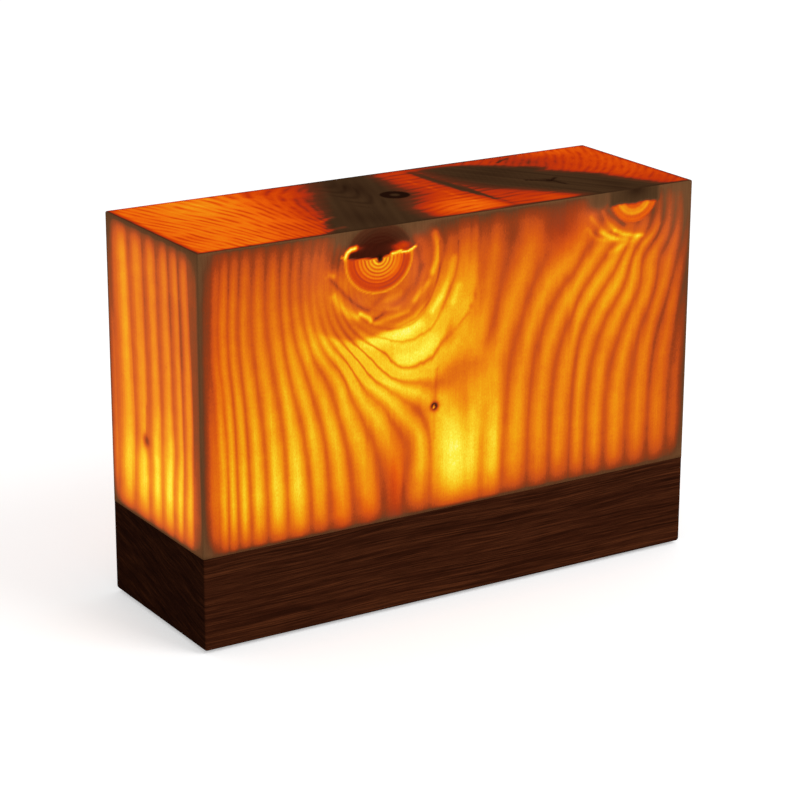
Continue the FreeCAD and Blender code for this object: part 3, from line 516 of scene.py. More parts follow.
# %% Big knot
def curl_under_big_knot(x, v, face):
    """A dull halo round the knot, the pale streaks and dark arcs of its cup, and dull wood beyond."""
    brim = np.interp(x, [44, 52, 62, 70, 78, 88, 98, 106, 112], [26, 39, 43.5, 46, 45.5, 43, 39.5, 33, 14])
    paint(face, 0.85 * step(1.4, -1.4, v - brim) * window(x, 44, 60, 104, 114) * step(2, 12, v),
          light=np.interp(x, [50, 75, 100], [0.46, 0.37, 0.39]))
    cup = step(0, 5, v - brim) * window(x, 60, 72, 108, 118) * step(70, 56, v)
    paint(face, cup, band=-0.7)
    face["veil"] += pools(x, v, [(100, 19, 5, 10, 0.35), (52, 10, 8, 16, 0.30), (72, 30, 5, 4, 0.20),
                                 (90, 33, 8, 3, 0.30), (66, 3, 8, 5, 0.4), (100, 3, 7, 5, 0.4)])
    face["light"] += pools(x, v, [(101, 14, 3, 7, -0.08), (62, 10, 4, 8, -0.14),
                                  (66, 20, 4, 5, 0.06)])
    past = x - np.interp(v, [0, 30, 36, 42, 46.5], [129, 129, 128, 125, 120])
    face["light"] -= 0.10 * window(past, -0.7, 0.7, 4, 12) * step(50, 40, v)
    face["light"] -= 0.07 * window(v, 61.6, 63.0, 66, 77) * window(x, 108, 113, 128, 137)
    face["light"] += pools(x, v, [(119, 55, 9, 5, 0.06), (123, 37, 5, 9, 0.07)])
    face["light"] += streaks(x, v, [
        (0.9, -0.15, [(57.5, 16.5), (66, 26), (72, 31.5), (77, 34)]),
        (1.7, 0.28, [(61.2, 26), (64, 30.5), (68, 34.3), (71.5, 36)]),
        (0.9, 0.42, [(73.2, 34.8), (77.5, 37.2), (78.2, 38.6)]),
        (1.3, 0.22, [(58, 16.8), (60.5, 17.4)]),
        (0.9, -0.16, [(79.5, 38.4), (83.5, 36.7)]),
        (1.5, -0.08, [(85, 35.8), (91, 33)]),
        (1.5, -0.08, [(79.5, 32), (84.5, 28.4)]),
        (1.8, -0.10, [(93.5, 31.5), (99, 26), (102.5, 19)]),
        (1.0, 0.12, [(86, 34.6), (91, 35.2)]),
        (1.2, 0.14, [(99, 32.6), (104.5, 26.8)]),
        (1.3, 0.08, [(85.5, 31), (92, 29.3)]),
        (1.0, 0.16, [(80, 40), (86, 39), (96, 37.2)]),
        (1.6, 0.32, [(108.6, 6), (110, 12), (109.6, 17.5), (107.5, 22)]),
        (1.3, 0.10, [(106, 26), (103, 29.5), (99, 33)]),
        (0.6, -0.18, [(86, 43.6), (92, 42.9), (100, 40.4), (106.3, 33.8), (109.8, 26.2), (111.2, 18.5),
                      (110.8, 10)]),
        (0.6, -0.11, [(112.5, 38.5), (115.8, 31.5), (118.5, 25.5), (120.0, 19), (120.0, 11)]),
        (0.7, -0.12, [(129.2, 12), (129.2, 30), (127.7, 37), (125, 42), (120, 47.2), (115, 51.5)]),
        (1.7, 0.26, [(117.9, 18), (116.3, 25), (112.5, 32), (107.5, 38.5)]),
        (1.8, 0.20, [(120, 30), (117.5, 36)]),
        (2.6, 0.18, [(74, 45), (79, 47.6), (88, 46.6), (97, 45), (101, 42.8)]),
        (3.4, 0.10, [(92, 57), (98, 57.6), (104, 55), (108, 51)]),
        (1.5, -0.10, [(84, 53), (88, 56.5)]),
    ])


def big_knot(x, v, face):
    """Rings by distance from the knot's heart, a dead upper half, and the crack with its leaks of light."""
    far = np.hypot((x - BIG_KNOT[0]) / 1.10, v - BIG_KNOT[1])
    disc = step(15.0, 14.3, far)
    crack = np.interp(x, [64, 82, 88, 100], [11.2, 13, 12.1, 10.4])
    below = step(-0.3, 0.3, v - crack)
    own_light = np.interp(far, [0, 2.3, 3.2, 6, 8.8, 10.2, 10.9, 13.0, 13.7, 14.4, 15],
                          [0.88, 0.84, 0.70, 0.60, 0.47, 0.35, 0.25, 0.24, 0.44, 0.62, 0.50])
    own_hue = np.interp(far, [0, 3, 8, 10.5, 13, 13.7], [0, 0.2, 0.75, 1, 1, 0.1])
    paint(face, disc * below, ring=far / 1.55, light=own_light,
          line=0.58 - 0.56 * step(12.2, 13.4, far), hue=own_hue, veil=0)
    dead = disc * (1 - below)
    dull = step(18, 12, far) * (1 - below)
    dead_light = 0.035 + pools(x, v, [(92.8, 9.2, 4.2, 1.9, 0.22), (71.5, 7.8, 3.5, 1.0, 0.13),
                                      (66.6, 7.6, 2.5, 1.2, 0.18)])
    paint(face, dead, light=dead_light, hue=1.0, line=0.2)
    paint(face, dull, dark=0.45)
    face["light"] *= 1 - 0.55 * step(28, 16, np.abs(x - 84)) * step(9, 2.5, v) * (1 - disc)
    own_dark = np.interp(far, [0, 9, 12, 15], [0.95, 0.95, 0.78, 0.60])
    paint(face, dead, dark=own_dark + 0.05 * np.cos(2 * np.pi * far / 1.5))
    face["light"] *= 1 - 0.85 * dull * (1 - dead)
    # the hollow sinks a little, and its near-black colour is painted shade in the recess
    hollow = dead * step(5.8, 7.4, v) * window(x, 67, 70, 87.5, 89.5)
    paint(face, hollow, dark=1.0, sink=0.7)
    heart = np.exp(-(np.hypot(x - 82.6, (v - 13.2) * 0.9) / 1.5) ** 4)
    paint(face, heart, light=0.0, dark=1.0, sink=0.5)
    leak = np.maximum.reduce([
        streak(x, v, 0.85, (66.3, 10.9), (67.2, 8.8), (69, 7.8), (71.2, 7.4)),
        streak(x, v, 0.6, (88.3, 11.9), (92.4, 11.3)),
        streak(x, v, 0.5, (92.4, 11.6), (95.5, 12), (97.5, 11.2), (99.3, 10.3)),
        0.5 * streak(x, v, 0.5, (64.5, 10.2), (66.5, 11.2)),
    ])
    paint(face, leak, light=1.05, hue=0.0, line=0.0, sink=0.4)


print("big knot at", BIG_KNOT)


# %% Small knots
def small_knot(x, v, face):
    """A knot that the top cuts through: dead above, a bright crescent below."""
    far = np.hypot(x - SMALL_KNOT[0], v - SMALL_KNOT[1])
    disc = step(12.6, 12, far)
    below = step(5.2, 6.6, v)
    own_light = np.interp(far, [0, 4.8, 5.8, 7, 8.6, 9.4, 10, 11, 12.4],
                          [0.25, 0.29, 0.36, 0.56, 0.62, 0.46, 0.35, 0.39, 0.34])
    own_hue = np.interp(far, [0, 4.8, 5.8, 7, 8.6, 9.4, 10, 12.4], [1, 1, 0.7, 0.1, 0.05, 0.2, 0.7, 0.8])
    paint(face, disc * below, ring=far / 1.9, light=own_light, line=0.10, hue=own_hue, veil=0)
    beside = step(5, -3, np.abs(x - 191) - 4) * step(9, 3, v)
    paint(face, 0.65 * beside, light=0.0, dark=0.15, line=0.1)
    torn = v + 0.35 * np.sin(0.5 * x + 1) + 0.12 * np.sin(1.7 * x)
    dead = step(1.2, -1.2, np.abs(x - SMALL_KNOT[0]) - 12.9) * step(7.0, 5.2, torn)
    own_dark = 0.42 + pools(x, v, [(210, 0, 6, 4, 0.45)])
    paint(face, dead, light=0.0, dark=own_dark, line=0.1)
    crease = streak(x, v, 1.0, (195.5, 7.5), (199, 11.5), (204, 15.2))
    paint(face, 0.7 * crease, light=0.14, veil=0.5, sink=0.15)


def curl_under_small_knot(x, v, face):
    """The dull halo and the pale streaks that hang below the small knot."""
    far = np.hypot(x - SMALL_KNOT[0], v - SMALL_KNOT[1])
    paint(face, 0.75 * step(21, 13, far) * step(5, 12, v), light=0.34)
    face["veil"] += pools(x, v, [(231, 12, 9, 20, 0.5), (190, 5, 7, 7, 0.5), (214, 16, 6, 3, 0.2)])
    face["light"] += streaks(x, v, [
        (1.1, 0.30, [(191.7, 16.8), (196, 19.2), (200.3, 20.9)]),
        (0.9, 0.36, [(199.2, 16.9), (204, 19.2), (209, 20.4), (214, 21)]),
        (0.7, -0.16, [(196.5, 17.2), (200.5, 19.2)]),
        (1.1, 0.22, [(186.6, 9.6), (189.2, 12.6), (193.4, 17)]),
        (0.9, 0.20, [(192.6, 7.8), (195.2, 12.9), (199.2, 16.7)]),
        (0.9, 0.16, [(184.9, 14.6), (189.2, 19.3), (195.2, 20.4), (205.4, 21.6)]),
        (0.7, -0.10, [(188, 16.2), (192, 19), (196, 20.2)]),
        (1.4, 0.18, [(197, 26.3), (205, 23.8), (211, 21.6)]),
        (1.2, 0.08, [(214, 25), (220, 21), (223, 17)]),
    ])


def pin_knot(u, v, face, place, radius, darkness):
    """A twig's dark dot in a dull pool, with a fine dark thread above and below it."""
    a, b = place
    face["light"] += pools(u, v, [(a, b, 2 * radius, 1.6 * radius, -0.14)])
    face["light"] += streaks(u, v, [(0.7, -0.16, [(a + 1, b - 16), (a + 0.6, b - 8), (a + 0.2, b - 3)]),
                                    (0.8, -0.10, [(a, b + 3), (a - 0.2, b + 14)])])
    dot = np.exp(-(np.hypot(u - a, v - b) / radius) ** 3)
    paint(face, dot, light=0.30 * (1 - darkness), dark=darkness, line=0.0, sink=0.3)


print("small knot at", SMALL_KNOT, "and a pin knot at", PIN_KNOT)


# %% Whole front
def front_face(x, v):
    """The whole front: x from the left end, v down from the top."""
    face = plain_face(x)
    face["ring"] = front_rings(x, v)
    face["light"] = front_light(x, v)
    face["line"] = front_lines(x, v, face["ring"])
    face["hue"] += pools(x, v, [(90, 110, 4, 17, 0.8), (64, 114, 4, 14, 0.5), (77, 116, 4, 10, 0.5),
                                (9, 60, 5, 60, 0.3), (173, 15, 13, 11, 0.4), (102, 14, 5, 10, 0.3)])
    curl_under_big_knot(x, v, face)
    curl_under_small_knot(x, v, face)
    face["light"] *= front_edges(x, v)
    big_knot(x, v, face)
    small_knot(x, v, face)
    pin_knot(x, v, face, PIN_KNOT, 2.2, 0.9)
    pinhole = np.hypot(x - 108.8, v - 80.3)
    paint(face, np.exp(-(pinhole / 0.55) ** 2), light=0.95)
    return face


middle_front = front_face(np.array([LENGTH / 2]), np.array([HEIGHT / 2]))
print("light in the middle of the front: %.2f" % middle_front["light"][0])

# %% [markdown]
# ### The top
#
# The top is end grain: fine arcs about the heart of the tree, which lay behind the back
# edge. The two branches run through it from the heart to the front and stay dark, as the
# dense wood of a branch lets no light pass. Between them the light is red.

# %% Top
FIRST_BRANCH = (([0, 20, 30, 40, 50, 60, 70, 81],
                 [101, 93, 86.5, 81, 75.5, 68, 63, 58.5],
                 [22, 20, 18, 16, 9, 5, 3, 3]),
                ([0, 10, 30, 45, 55, 62, 81],
                 [125, 124.5, 121, 113, 108, 106.5, 106.5],
                 [8, 8, 10, 20, 22, 16, 14]))
SECOND_BRANCH = (([4, 20, 30, 40, 48, 55, 62, 70, 81],
                  [150, 152, 154.5, 158, 162, 170, 175, 181.5, 189],
                  [12, 14, 16, 16, 16, 15, 14, 12, 10]),
                 ([4, 8, 14, 20, 25, 29, 32, 42, 50, 57, 65, 81],
                  [163, 170, 179, 185, 194, 197, 193, 203, 212, 214, 218, 226],
                  [9, 9, 9, 9, 8, 8, 10, 9, 8, 8, 8, 8]))


def ragged(t):
    """Small swings along an edge, so that a branch is not cut as with scissors."""
    return 1.0 * np.sin(0.9 * t) + 0.7 * np.sin(2.1 * t + 1)


def branch(x, t, left, right):
    """1 inside a branch. Each side is three rows: t, its place in x there, and its shadow's reach."""
    left_edge, left_reach = np.interp(t, left[0], left[1]), np.interp(t, left[0], left[2])
    right_edge, right_reach = np.interp(t, right[0], right[1]), np.interp(t, right[0], right[2])
    from_left = x - left_edge + 0.5 * ragged(t)
    from_right = right_edge - x + 0.5 * ragged(t + 20)
    return (step(0, 1, (from_left + left_reach) / (left_reach + 5))
            * step(0, 1, (from_right + right_reach) / (right_reach + 5)))


def top_rings(x, t):
    """Line counts. The rings lean at the left end, stand upright before the first branch and then
    follow its side; between the branches they climb to the right; beyond, they circle the heart."""
    lean = np.interp(x, [0, 25, 40, 55, 75, 95], [0.36, 0.30, 0.18, 0.05, -0.30, -0.6])
    climb = np.clip(x - 112, 0, 30)
    between = t + 0.45 * climb - 0.0075 * climb ** 2
    beyond = np.hypot(x - HEART_X, t + HEART_BACK)
    return np.where(x < 114 - 0.36 * t, (x - lean * (t - 40)) / 4.0,
                    np.where(x < 163 + 0.52 * t, between / 4.8, beyond / 3.6))


def top_light(x, t):
    """Brightest at the left end, dull between the branches, with one warm pool at the front there."""
    level = np.interp(x, [0, 16, 30, 44, 56, 68, 90, 118, 138, 152, 172, 198, 214, 232, 240],
                      [0.42, 0.46, 0.49, 0.45, 0.39, 0.28, 0.24, 0.19, 0.21, 0.16, 0.20, 0.18, 0.235,
                       0.295, 0.315])
    return level + pools(x, t, [(40, 10, 15, 18, 0.12), (52, 80, 20, 22, -0.12), (132, 70, 16, 17, 0.22),
                                (166, 78, 14, 12, 0.06), (218, 2, 14, 9, 0.10), (8, 57, 6, 5, -0.06),
                                (126, 42, 7, 22, -0.05), (200, 16, 14, 8, -0.05), (231, 72, 10, 14, -0.08),
                                (66, 50, 7, 10, -0.06), (79, 27, 6, 10, -0.05), (114, 70, 6, 12, 0.06)])


def top_face(x, t):
    """The top: x from the left end, t from the back edge."""
    face = plain_face(x)
    face["ring"] = top_rings(x, t)
    face["light"] = top_light(x, t)
    face["line"] += 0.50 - 0.14 * step(150, 185, x)
    face["hue"] += 1.0
    face["dark"] += 0.8
    first = branch(x, t, *FIRST_BRANCH)
    second = branch(x, t, *SECOND_BRANCH) * step(1, 9, t)
    for shadow, slope, strength in ((first, -0.38, 0.025), (second, 0.65, 0.05)):
        along = x - slope * t
        fibres = np.sin(1.3 * along) + 0.8 * np.sin(0.53 * along + 2) + 0.6 * np.sin(0.9 * along + 0.08 * t)
        face["light"] *= 1 - shadow
        face["line"] *= 1 - 0.7 * shadow
        paint(face, shadow ** 2, dark=0.62 + strength * fibres)
    wide = np.interp(t, [8, 14, 30, 40, 48, 60, 74], [0.3, 0.8, 1.6, 2.2, 1.8, 0.6, 0.2])
    middle = np.interp(t, [8, 30, 42, 74], [143.2, 144.8, 146, 149.8])
    needle = step(1.4, -0.8, np.abs(x - middle) - wide) * window(t, 6, 16, 60, 74)
    face["light"] *= 1 - 0.95 * needle
    face["light"] *= 1 - 0.45 * streak(x, t, 2.0, (143, 6), (146, 40), (150, 76))
    paint(face, needle, dark=0.62)
    far = np.hypot(x - 116, t - 38)
    eye = step(7.0, 6.0, far)
    face["light"] *= 1 - eye
    paint(face, eye, dark=np.interp(far, [0, 1.6, 2.6, 6, 7], [0.62, 0.7, 1, 1, 0.8]))
    star = np.maximum.reduce([streak(x, t, 0.9, (179, 44), (187.5, 49.5), (192, 46.5)),
                              streak(x, t, 0.8, (187.5, 49), (189.5, 58)),
                              np.exp(-(np.hypot(x - 187, t - 49) / 2.4) ** 2)])
    # the star crack sinks a little, and its near-black colour is painted shade in the crack
    paint(face, star, light=0.0, dark=1.0, sink=0.35)
    nest = 0.5 + 0.5 * np.cos((t + 2.4 * np.hypot(x - 99, 4)) * 0.58)
    within = window(x, 90, 95, 105, 110) * window(t, 6, 16, 46, 56)
    paint(face, 0.5 * nest ** 2 * within, dark=0.92)
    face["dark"] += pools(x, t, [(107, 18, 7, 14, 0.16), (86, 66, 9, 14, 0.14),
                                 (172, 26, 14, 10, 0.10), (206, 72, 6, 12, 0.12)])
    face["light"] += streaks(x, t, [(0.7, 0.09, [(133, 18), (137, 45), (139, 64)]),
                                    (1.2, 0.10, [(66.5, 62), (70, 59.5), (74, 57.5)]),
                                    (1.0, 0.10, [(62, 76), (66, 74.5), (70, 74)])])
    face["light"] *= 1 - 0.7 * streak(x, t, 0.8, (186, 11), (190, 8), (194, 6))
    edge = to_edge(x, t, LENGTH, DEPTH)
    face["light"] *= step(-0.4, 3.4, edge)
    paint(face, step(2.4, 0.4, edge), dark=0.75)
    return face


print("two branches cross the top")

# %% [markdown]
# ### The ends and the back
#
# On the left end the saw crossed few rings, so they show as broad bands, bright on one
# side and dull on the other. The back lies near the heart of the tree, so its rings
# stand wide apart at the middle and close at the ends, and the big branch shows there
# as a smaller knot.

# %% Ends and back
LEFT_LINES = (-20, 4.5, 20, 32.8, 44.8, 55.8, 63.8, 72.6, 86, 98)
RING_GAP = 4.4


def side_edges(t, v):
    """The light dies away at the edges of an end."""
    fade = (0.40 + 0.60 * step(0.5, 9, t)) * (0.40 + 0.60 * step(1, 10, DEPTH - t))
    fade = fade * dim(0.68, 7, 1.3, HEIGHT - v) * dim(0.72, 7, 1.5, v)
    return fade * step(-1.5, 2.5, to_edge(t, v, DEPTH, HEIGHT))


def left_face(t, v):
    """The left end: t from the back edge, v down from the top."""
    face = plain_face(t)
    sway = (4.2 * step(-15, 78, v) - 2.4 * step(80, 130, v)) * np.interp(t, [0, 50, 81], [1.05, 0.65, 0.65])
    sway = sway + 1.0 * np.exp(-((v - 88) / 10) ** 2) * np.sin(t / 6.5 - 1.2)
    face["ring"] = np.interp(t - sway, LEFT_LINES, np.arange(len(LEFT_LINES), dtype=float))
    face["light"] = 0.57 + pools(t, v, [
        (44, 106, 50, 19, 0.34), (14, 60, 9, 50, 0.08), (52, 18, 40, 40, -0.08), (68, 104, 8, 24, -0.10),
        (70, 25, 7, 36, -0.08), (52, 84, 11, 14, 0.10), (12, 108, 8, 14, -0.06), (22, 90, 4, 8, -0.08),
        (31, 32, 5, 12, -0.05), (57, 28, 6, 14, -0.06), (66, 40, 4, 14, -0.06), (78, 105, 5, 24, -0.14)])
    face["line"] += 0.45 * (0.4 + 0.6 * step(0, 12, HEIGHT - v)) * (0.4 + 0.6 * step(0, 10, v))
    face["band"] += 1.0
    face["veil"] += 0.62
    pin_knot(t, v, face, (32.7, 90), 3.1, 0.3)
    face["light"] *= side_edges(t, v)
    return face


def right_face(t, v):
    """The right end: rings by distance from the heart, which is farther off here."""
    face = plain_face(t)
    sway = 2.0 * np.sin(v / 40 + 1.0)
    face["ring"] = np.hypot(LENGTH - HEART_X + sway, t + HEART_BACK) / RING_GAP
    face["light"] = 0.52 + pools(t, v, [(36, 100, 50, 26, 0.20), (20, 24, 30, 24, -0.06),
                                        (64, 60, 16, 40, 0.06)])
    face["line"] += 0.42
    face["band"] += 0.6
    face["light"] *= side_edges(t, v)
    return face


def back_face(x, v):
    """The back: rings by distance from the heart, pushed aside by the big branch's knot."""
    face = plain_face(x)
    sway = 3.0 * np.sin(v / 45 + 0.5)
    far = np.hypot((x - 114) / 1.05, v - 13)
    ring = np.hypot(x - HEART_X + sway, HEART_BACK) / RING_GAP - HEART_BACK / RING_GAP
    ring = ring - 14 * np.exp(-(far / 14) ** 1.2)
    face["ring"] = np.where(ring < 0, -2.2 * np.log1p(np.maximum(-ring, 0) / 2.2), ring) + HEART_COUNT
    face["light"] = 0.54 + pools(x, v, [
        (60, 100, 40, 34, 0.20), (150, 104, 30, 28, 0.26), (114, 48, 28, 14, 0.20),
        (205, 30, 30, 30, -0.08), (30, 20, 40, 26, -0.10)])
    face["line"] += 0.44
    face["light"] *= front_edges(LENGTH - x, v)
    disc = step(10.5, 9.9, far)
    own_light = np.interp(far, [0, 3, 8, 10], [0.5, 0.42, 0.26, 0.40])
    paint(face, disc, ring=far / 1.4, line=0.26, hue=0.7, light=own_light)
    paint(face, np.exp(-(far / 1.3) ** 4), light=0.0, dark=1.0, sink=0.4)
    return face


print("the ends and the back are drawn")

# %% [markdown]
# ## The shade itself
#
# Each point of the outer skin now takes the fields of the face that it lies on, and sinks
# a little where there is a crack. Then the edges are softened and the three skins are
# joined: the outer one, the cavity turned inside out, and the rim.

# %% Fields for every point of the outer skin
n_long, n_deep = len(across), len(deep)
strip = sides.reshape(len(down), strip_size, 3)
x_of, t_of, v_of = strip[..., 0] - low[0], high[1] - strip[..., 1], high[2] - strip[..., 2]
faces = {
    "front": (slice(0, n_long), front_face, x_of, (0, 1, 0)),
    "right": (slice(n_long, n_long + n_deep - 2), right_face, t_of, (-1, 0, 0)),
    "back": (slice(n_long + n_deep - 2, 2 * n_long + n_deep - 2), back_face, x_of, (0, -1, 0)),
    "left": (slice(2 * n_long + n_deep - 2, strip_size), left_face, t_of, (1, 0, 0)),
}
on_sides = plain_face(x_of)
inward = np.zeros_like(strip)
for columns, draw, sideways, into in faces.values():
    drawn = draw(sideways[:, columns], v_of[:, columns])
    inward[:, columns] = into
    for name in FIELDS:
        on_sides[name][:, columns] = drawn[name]
on_top = top_face(top[:, 0] - low[0], high[1] - top[:, 1])
pine = {name: np.concatenate([on_sides[name].ravel(), on_top[name]]) for name in FIELDS}
inward = np.concatenate([inward.reshape(-1, 3), np.tile((0, 0, -1), (len(top), 1))])
print("light from %.2f to %.2f, cracks up to %.1f mm deep"
      % (pine["light"].min(), pine["light"].max(), pine["sink"].max()))

# %% Shade mesh
outer = np.concatenate([sides, top])
outer_low = np.array([low[0] + EDGE, low[1] + EDGE, -np.inf])
outer_points = soften(outer, outer_low, high - EDGE) + inward * pine["sink"][:, None]
cavity_reach = np.array([high[0] - WALL - CAVITY_CORNER, high[1] - WALL - CAVITY_CORNER, np.inf])
cavity_points = soften(cavity, -cavity_reach, cavity_reach)
rim = np.arange(strip_size)
rim_next = np.roll(rim, -1)
rim_faces = quads(len(outer) + rim, len(outer) + rim_next, rim_next, rim)
shade_points = np.concatenate([outer_points, cavity_points]) / 1000
inner_faces = cavity_faces[:, ::-1] + len(outer)
shade_faces = np.concatenate([side_faces, top_faces, inner_faces, rim_faces]).tolist()
shade_faces.append((ceiling[::-1] + len(outer)).tolist())

shade = skin("glowing_shade", shade_points, shade_faces)
shade_mesh = shade.data
for name in FIELDS[:-1]:
    values = np.concatenate([pine[name], np.zeros(len(cavity))]).astype(np.float32)
    shade_mesh.attributes.new(name, "FLOAT", "POINT").data.foreach_set("value", values)
shade_mesh.update()
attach(shade, "lamp")
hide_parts("pine_shade")
shade_mesh.calc_loop_triangles()
print(len(shade_points), "points and", len(shade_mesh.loop_triangles), "triangles")

# %% [markdown]
# ## The glow of the pine
#
# A lit wall could be a translucent shader with a lamp inside, but thin wood seen this
# way has its own ladder of colours: from dark red over orange to yellow as more light
# comes through. So the finish turns the fields into one level of light, lets fibres and
# rings take some away, and reads the colour off that ladder. It leaves the shader as
# emission. The base colour is painted shade: the dull brown of the unlit wood, darker
# than the pine itself, which turns nearly black where the glow is bright.

# %% Rings in the glow
FIBRE_STRETCH = (900, 900, 45)

glow = Finish("glowing_pine", Roughness=0.8, Specular_IOR_Level=0.0, Emission_Strength=1.0)
spot = glow.place()
ring, light, line, band, hue, dark, veil = (glow.attribute(name) for name in FIELDS[:-1])
along_fibre = glow.place(FIBRE_STRETCH)

# rings wander a little along the fibre, and drift farther in end grain
wander_reach = glow.minus(0.30, glow.times(hue, 0.20))
wander = glow.times(glow.minus(glow.noise(along_fibre, 0.22, 2), 0.5), wander_reach)
drift = glow.times(glow.minus(glow.noise(spot, 0.04, 1), 0.5), glow.times(hue, 1.2))
count = glow.plus(ring, wander, drift)

# late wood is a thin line at each whole count, or a broad band where band is 1
thinner = glow.plus(glow.times(glow.math("MAXIMUM", glow.times(band, -1.0), 0.0), 3.0), 1.0)
off_line = glow.times(glow.math("PINGPONG", count, 0.5), thinner)
thin = glow.grade(off_line, (0, 0.94), (0.07, 0.86), (0.15, 0.64), (0.26, 0.38), (0.39, 0.12), (0.5, 0))
broad = glow.grade(glow.math("FRACT", count), (0, 1), (0.12, 0.85), (0.28, 0.55), (0.42, 0.18), (0.55, 0),
                   (0.68, 0.05), (0.82, 0.45), (0.93, 0.92), (1, 1), ease="EASE")
broadness = glow.math("MAXIMUM", band, 0.0)
late = glow.plus(glow.times(thin, glow.minus(1.0, broadness)), glow.times(broad, broadness))

# end grain's rings come and go along their length
slow = glow.node("VectorMath", {0: spot, 1: (0.05, 0.08, 0.04)}, output="Value",
                 operation="DOT_PRODUCT")
uneven = glow.noise(glow.node("CombineXYZ", {"X": glow.times(count, 0.8), "Y": slow}), 1.0, 1)
uneven = glow.minus(1.0, glow.times(hue, glow.grade(uneven, (0.38, 0.85), (0.62, 0))))
passed = glow.minus(1.0, glow.times(glow.times(line, uneven), late))
print("the rings take", len(glow.tree.nodes), "nodes")

# %% Grain in the glow
FLECK_STRETCH = (1000, 1000, 420)

with_rings = glow.node("CombineXYZ", {"X": glow.times(count, 3.4), "Y": slow})
fine_rings = glow.noise(with_rings, 1.0, 3, 0.6)
fibre = glow.noise(along_fibre, 1.6, 3, 0.6)
cloud = glow.noise(spot, 0.16, 4, 0.6)
fleck = glow.noise(glow.place(FLECK_STRETCH), 2.2, 2, 0.6)
grain = glow.plus(glow.times(fibre, 0.16), glow.times(cloud, 0.26), glow.times(fleck, 0.36),
                  glow.times(fine_rings, glow.plus(0.14, glow.times(hue, 0.30))),
                  glow.minus(0.54, glow.times(hue, 0.15)))
level = glow.times(glow.times(light, passed), grain)
print("with the grain it takes", len(glow.tree.nodes))

# %% Colours of the glow
LADDER_TOP = 1.1
LONG_GRAIN = ((0.0, (0, 0, 0)), (0.14, (62, 22, 8)), (0.24, (156, 57, 18)), (0.28, (188, 72, 20)),
              (0.35, (210, 88, 18)), (0.43, (224, 110, 18)), (0.51, (236, 130, 17)), (0.63, (242, 160, 18)),
              (0.78, (249, 200, 34)), (0.94, (253, 240, 70)), (LADDER_TOP, (255, 252, 160)))
END_GRAIN = ((0.0, (0, 0, 0)), (0.08, (80, 22, 8)), (0.145, (170, 37, 7)), (0.19, (190, 48, 4)),
             (0.27, (213, 68, 3)), (0.36, (233, 92, 7)), (0.41, (238, 105, 9)), (0.49, (240, 124, 12)),
             (0.60, (244, 150, 20)), (0.78, (249, 200, 34)))

long_ladder = glow.ramp(glow.math("DIVIDE", level, LADDER_TOP),
                        [(place / LADDER_TOP, tint(*colour)) for place, colour in LONG_GRAIN])
end_ladder = glow.ramp(level, [(place, tint(*colour)) for place, colour in END_GRAIN])
glow.set(Emission_Color=glow.mix(hue, long_ladder, end_ladder))

# the base colour is painted shade: the dull brown of unlit wood, darker than the pine itself, turning
# nearly black where the glow is bright
unlit = glow.mix(dark, tint(104, 74, 46), tint(34, 15, 8))
unlit = glow.mix(glow.grade(fibre, (0.3, 0), (0.7, 0.25)), unlit, tint(40, 24, 13))
shown = glow.minus(glow.grade(level, (0.05, 0), (0.24, 0.85), (0.42, 1), ease="EASE"), veil)
glow.set(Base_Color=glow.mix(shown, unlit, tint(18, 9, 3)))
glow.bump(glow.plus(fibre, glow.times(late, -0.6)), 0.00004)
shade_mesh.materials.append(glow.material)
print("the pine glows in", len(LONG_GRAIN), "steps of colour")

# %% [markdown]
# ## The walnut base
#
# Walnut is dark and straight-grained. Its rings are so wide here that they cross the
# block as nearly flat layers, tipped a little towards the front. A solid texture suits
# it: noise that is stretched along the block and thin across the layers gives fine
# streaks on the front and slanting ones on the ends, and they meet at the edges as they
# do in real wood. End grain drinks more oil, so the ends are darker.

# %% Walnut
LAYER_TIP = radians(-15)

walnut = Finish("oiled_walnut", Specular_IOR_Level=0.0)
tipped = walnut.place((1, 1, 1), turn=(LAYER_TIP, 0, 0))
swing = walnut.minus(walnut.noise(walnut.place((9, 30, 30)), 1.0, 2), 0.5)
bent = walnut.node("CombineXYZ", {"Z": walnut.times(swing, 0.006)})
layers = walnut.node("VectorMath", {0: tipped, 1: bent}, operation="ADD")


def layered(scale, detail=3.0):
    """Noise in the walnut's layers, stretched by a scale along, up the end and across them."""
    return walnut.noise(walnut.node("Mapping", {"Vector": layers, "Scale": scale}), 1.0, detail, 0.6)


fine, middle, broad_tone = layered((30, 90, 2100)), layered((14, 60, 520)), layered((5, 20, 90), 2)
pores = layered((120, 900, 3200), 2)
pore = walnut.grade(pores, (0.54, 0), (0.68, 1))
tone = walnut.plus(walnut.times(fine, 0.56), walnut.times(middle, 0.29), walnut.times(broad_tone, 0.15))
brown = walnut.ramp(tone, [(0.37, tint(86, 44, 23)), (0.45, tint(67, 33, 17)), (0.52, tint(54, 24, 12)),
                           (0.63, tint(36, 15, 7))])
brown = walnut.mix(walnut.times(pore, 0.45), brown, tint(26, 11, 6))
facing = walnut.node("TexCoord", {}, output="Normal")
sideways = walnut.math("ABSOLUTE", walnut.node("SeparateXYZ", {0: facing}, output="X"))
end_grain = walnut.grade(sideways, (0.6, 0), (0.95, 0.60))
walnut.set(Base_Color=walnut.mix(end_grain, brown, tint(15, 8, 6)),
           Roughness=walnut.grade(pores, (0.3, 0.5), (0.7, 0.65)))
walnut.bump(walnut.minus(1.0, pore), 0.00005)
dress(walnut, "walnut_base")
print("the base is oiled")

# %% [markdown]
# ## Metal, plastic and rubber
#
# The fittings at the back and the pieces inside repeat a few kinds of surface: plated and
# drawn metal with fine scratches, moulded plastic with a faint sand texture, dull rubber.
# Each kind is one function, and a slot's name in the record says which pieces it dresses.

# %% Kinds of surface
in_slot = {}
for row in frame["record"]["subparts"]:
    in_slot.setdefault(row["material_slot"], []).append(row["node"])


def shaded(colour, share):
    """A screen colour made lighter or darker by a share of its linear strength."""
    return (*(min(1.0, part * share) for part in tint(*colour)[:3]), 1.0)


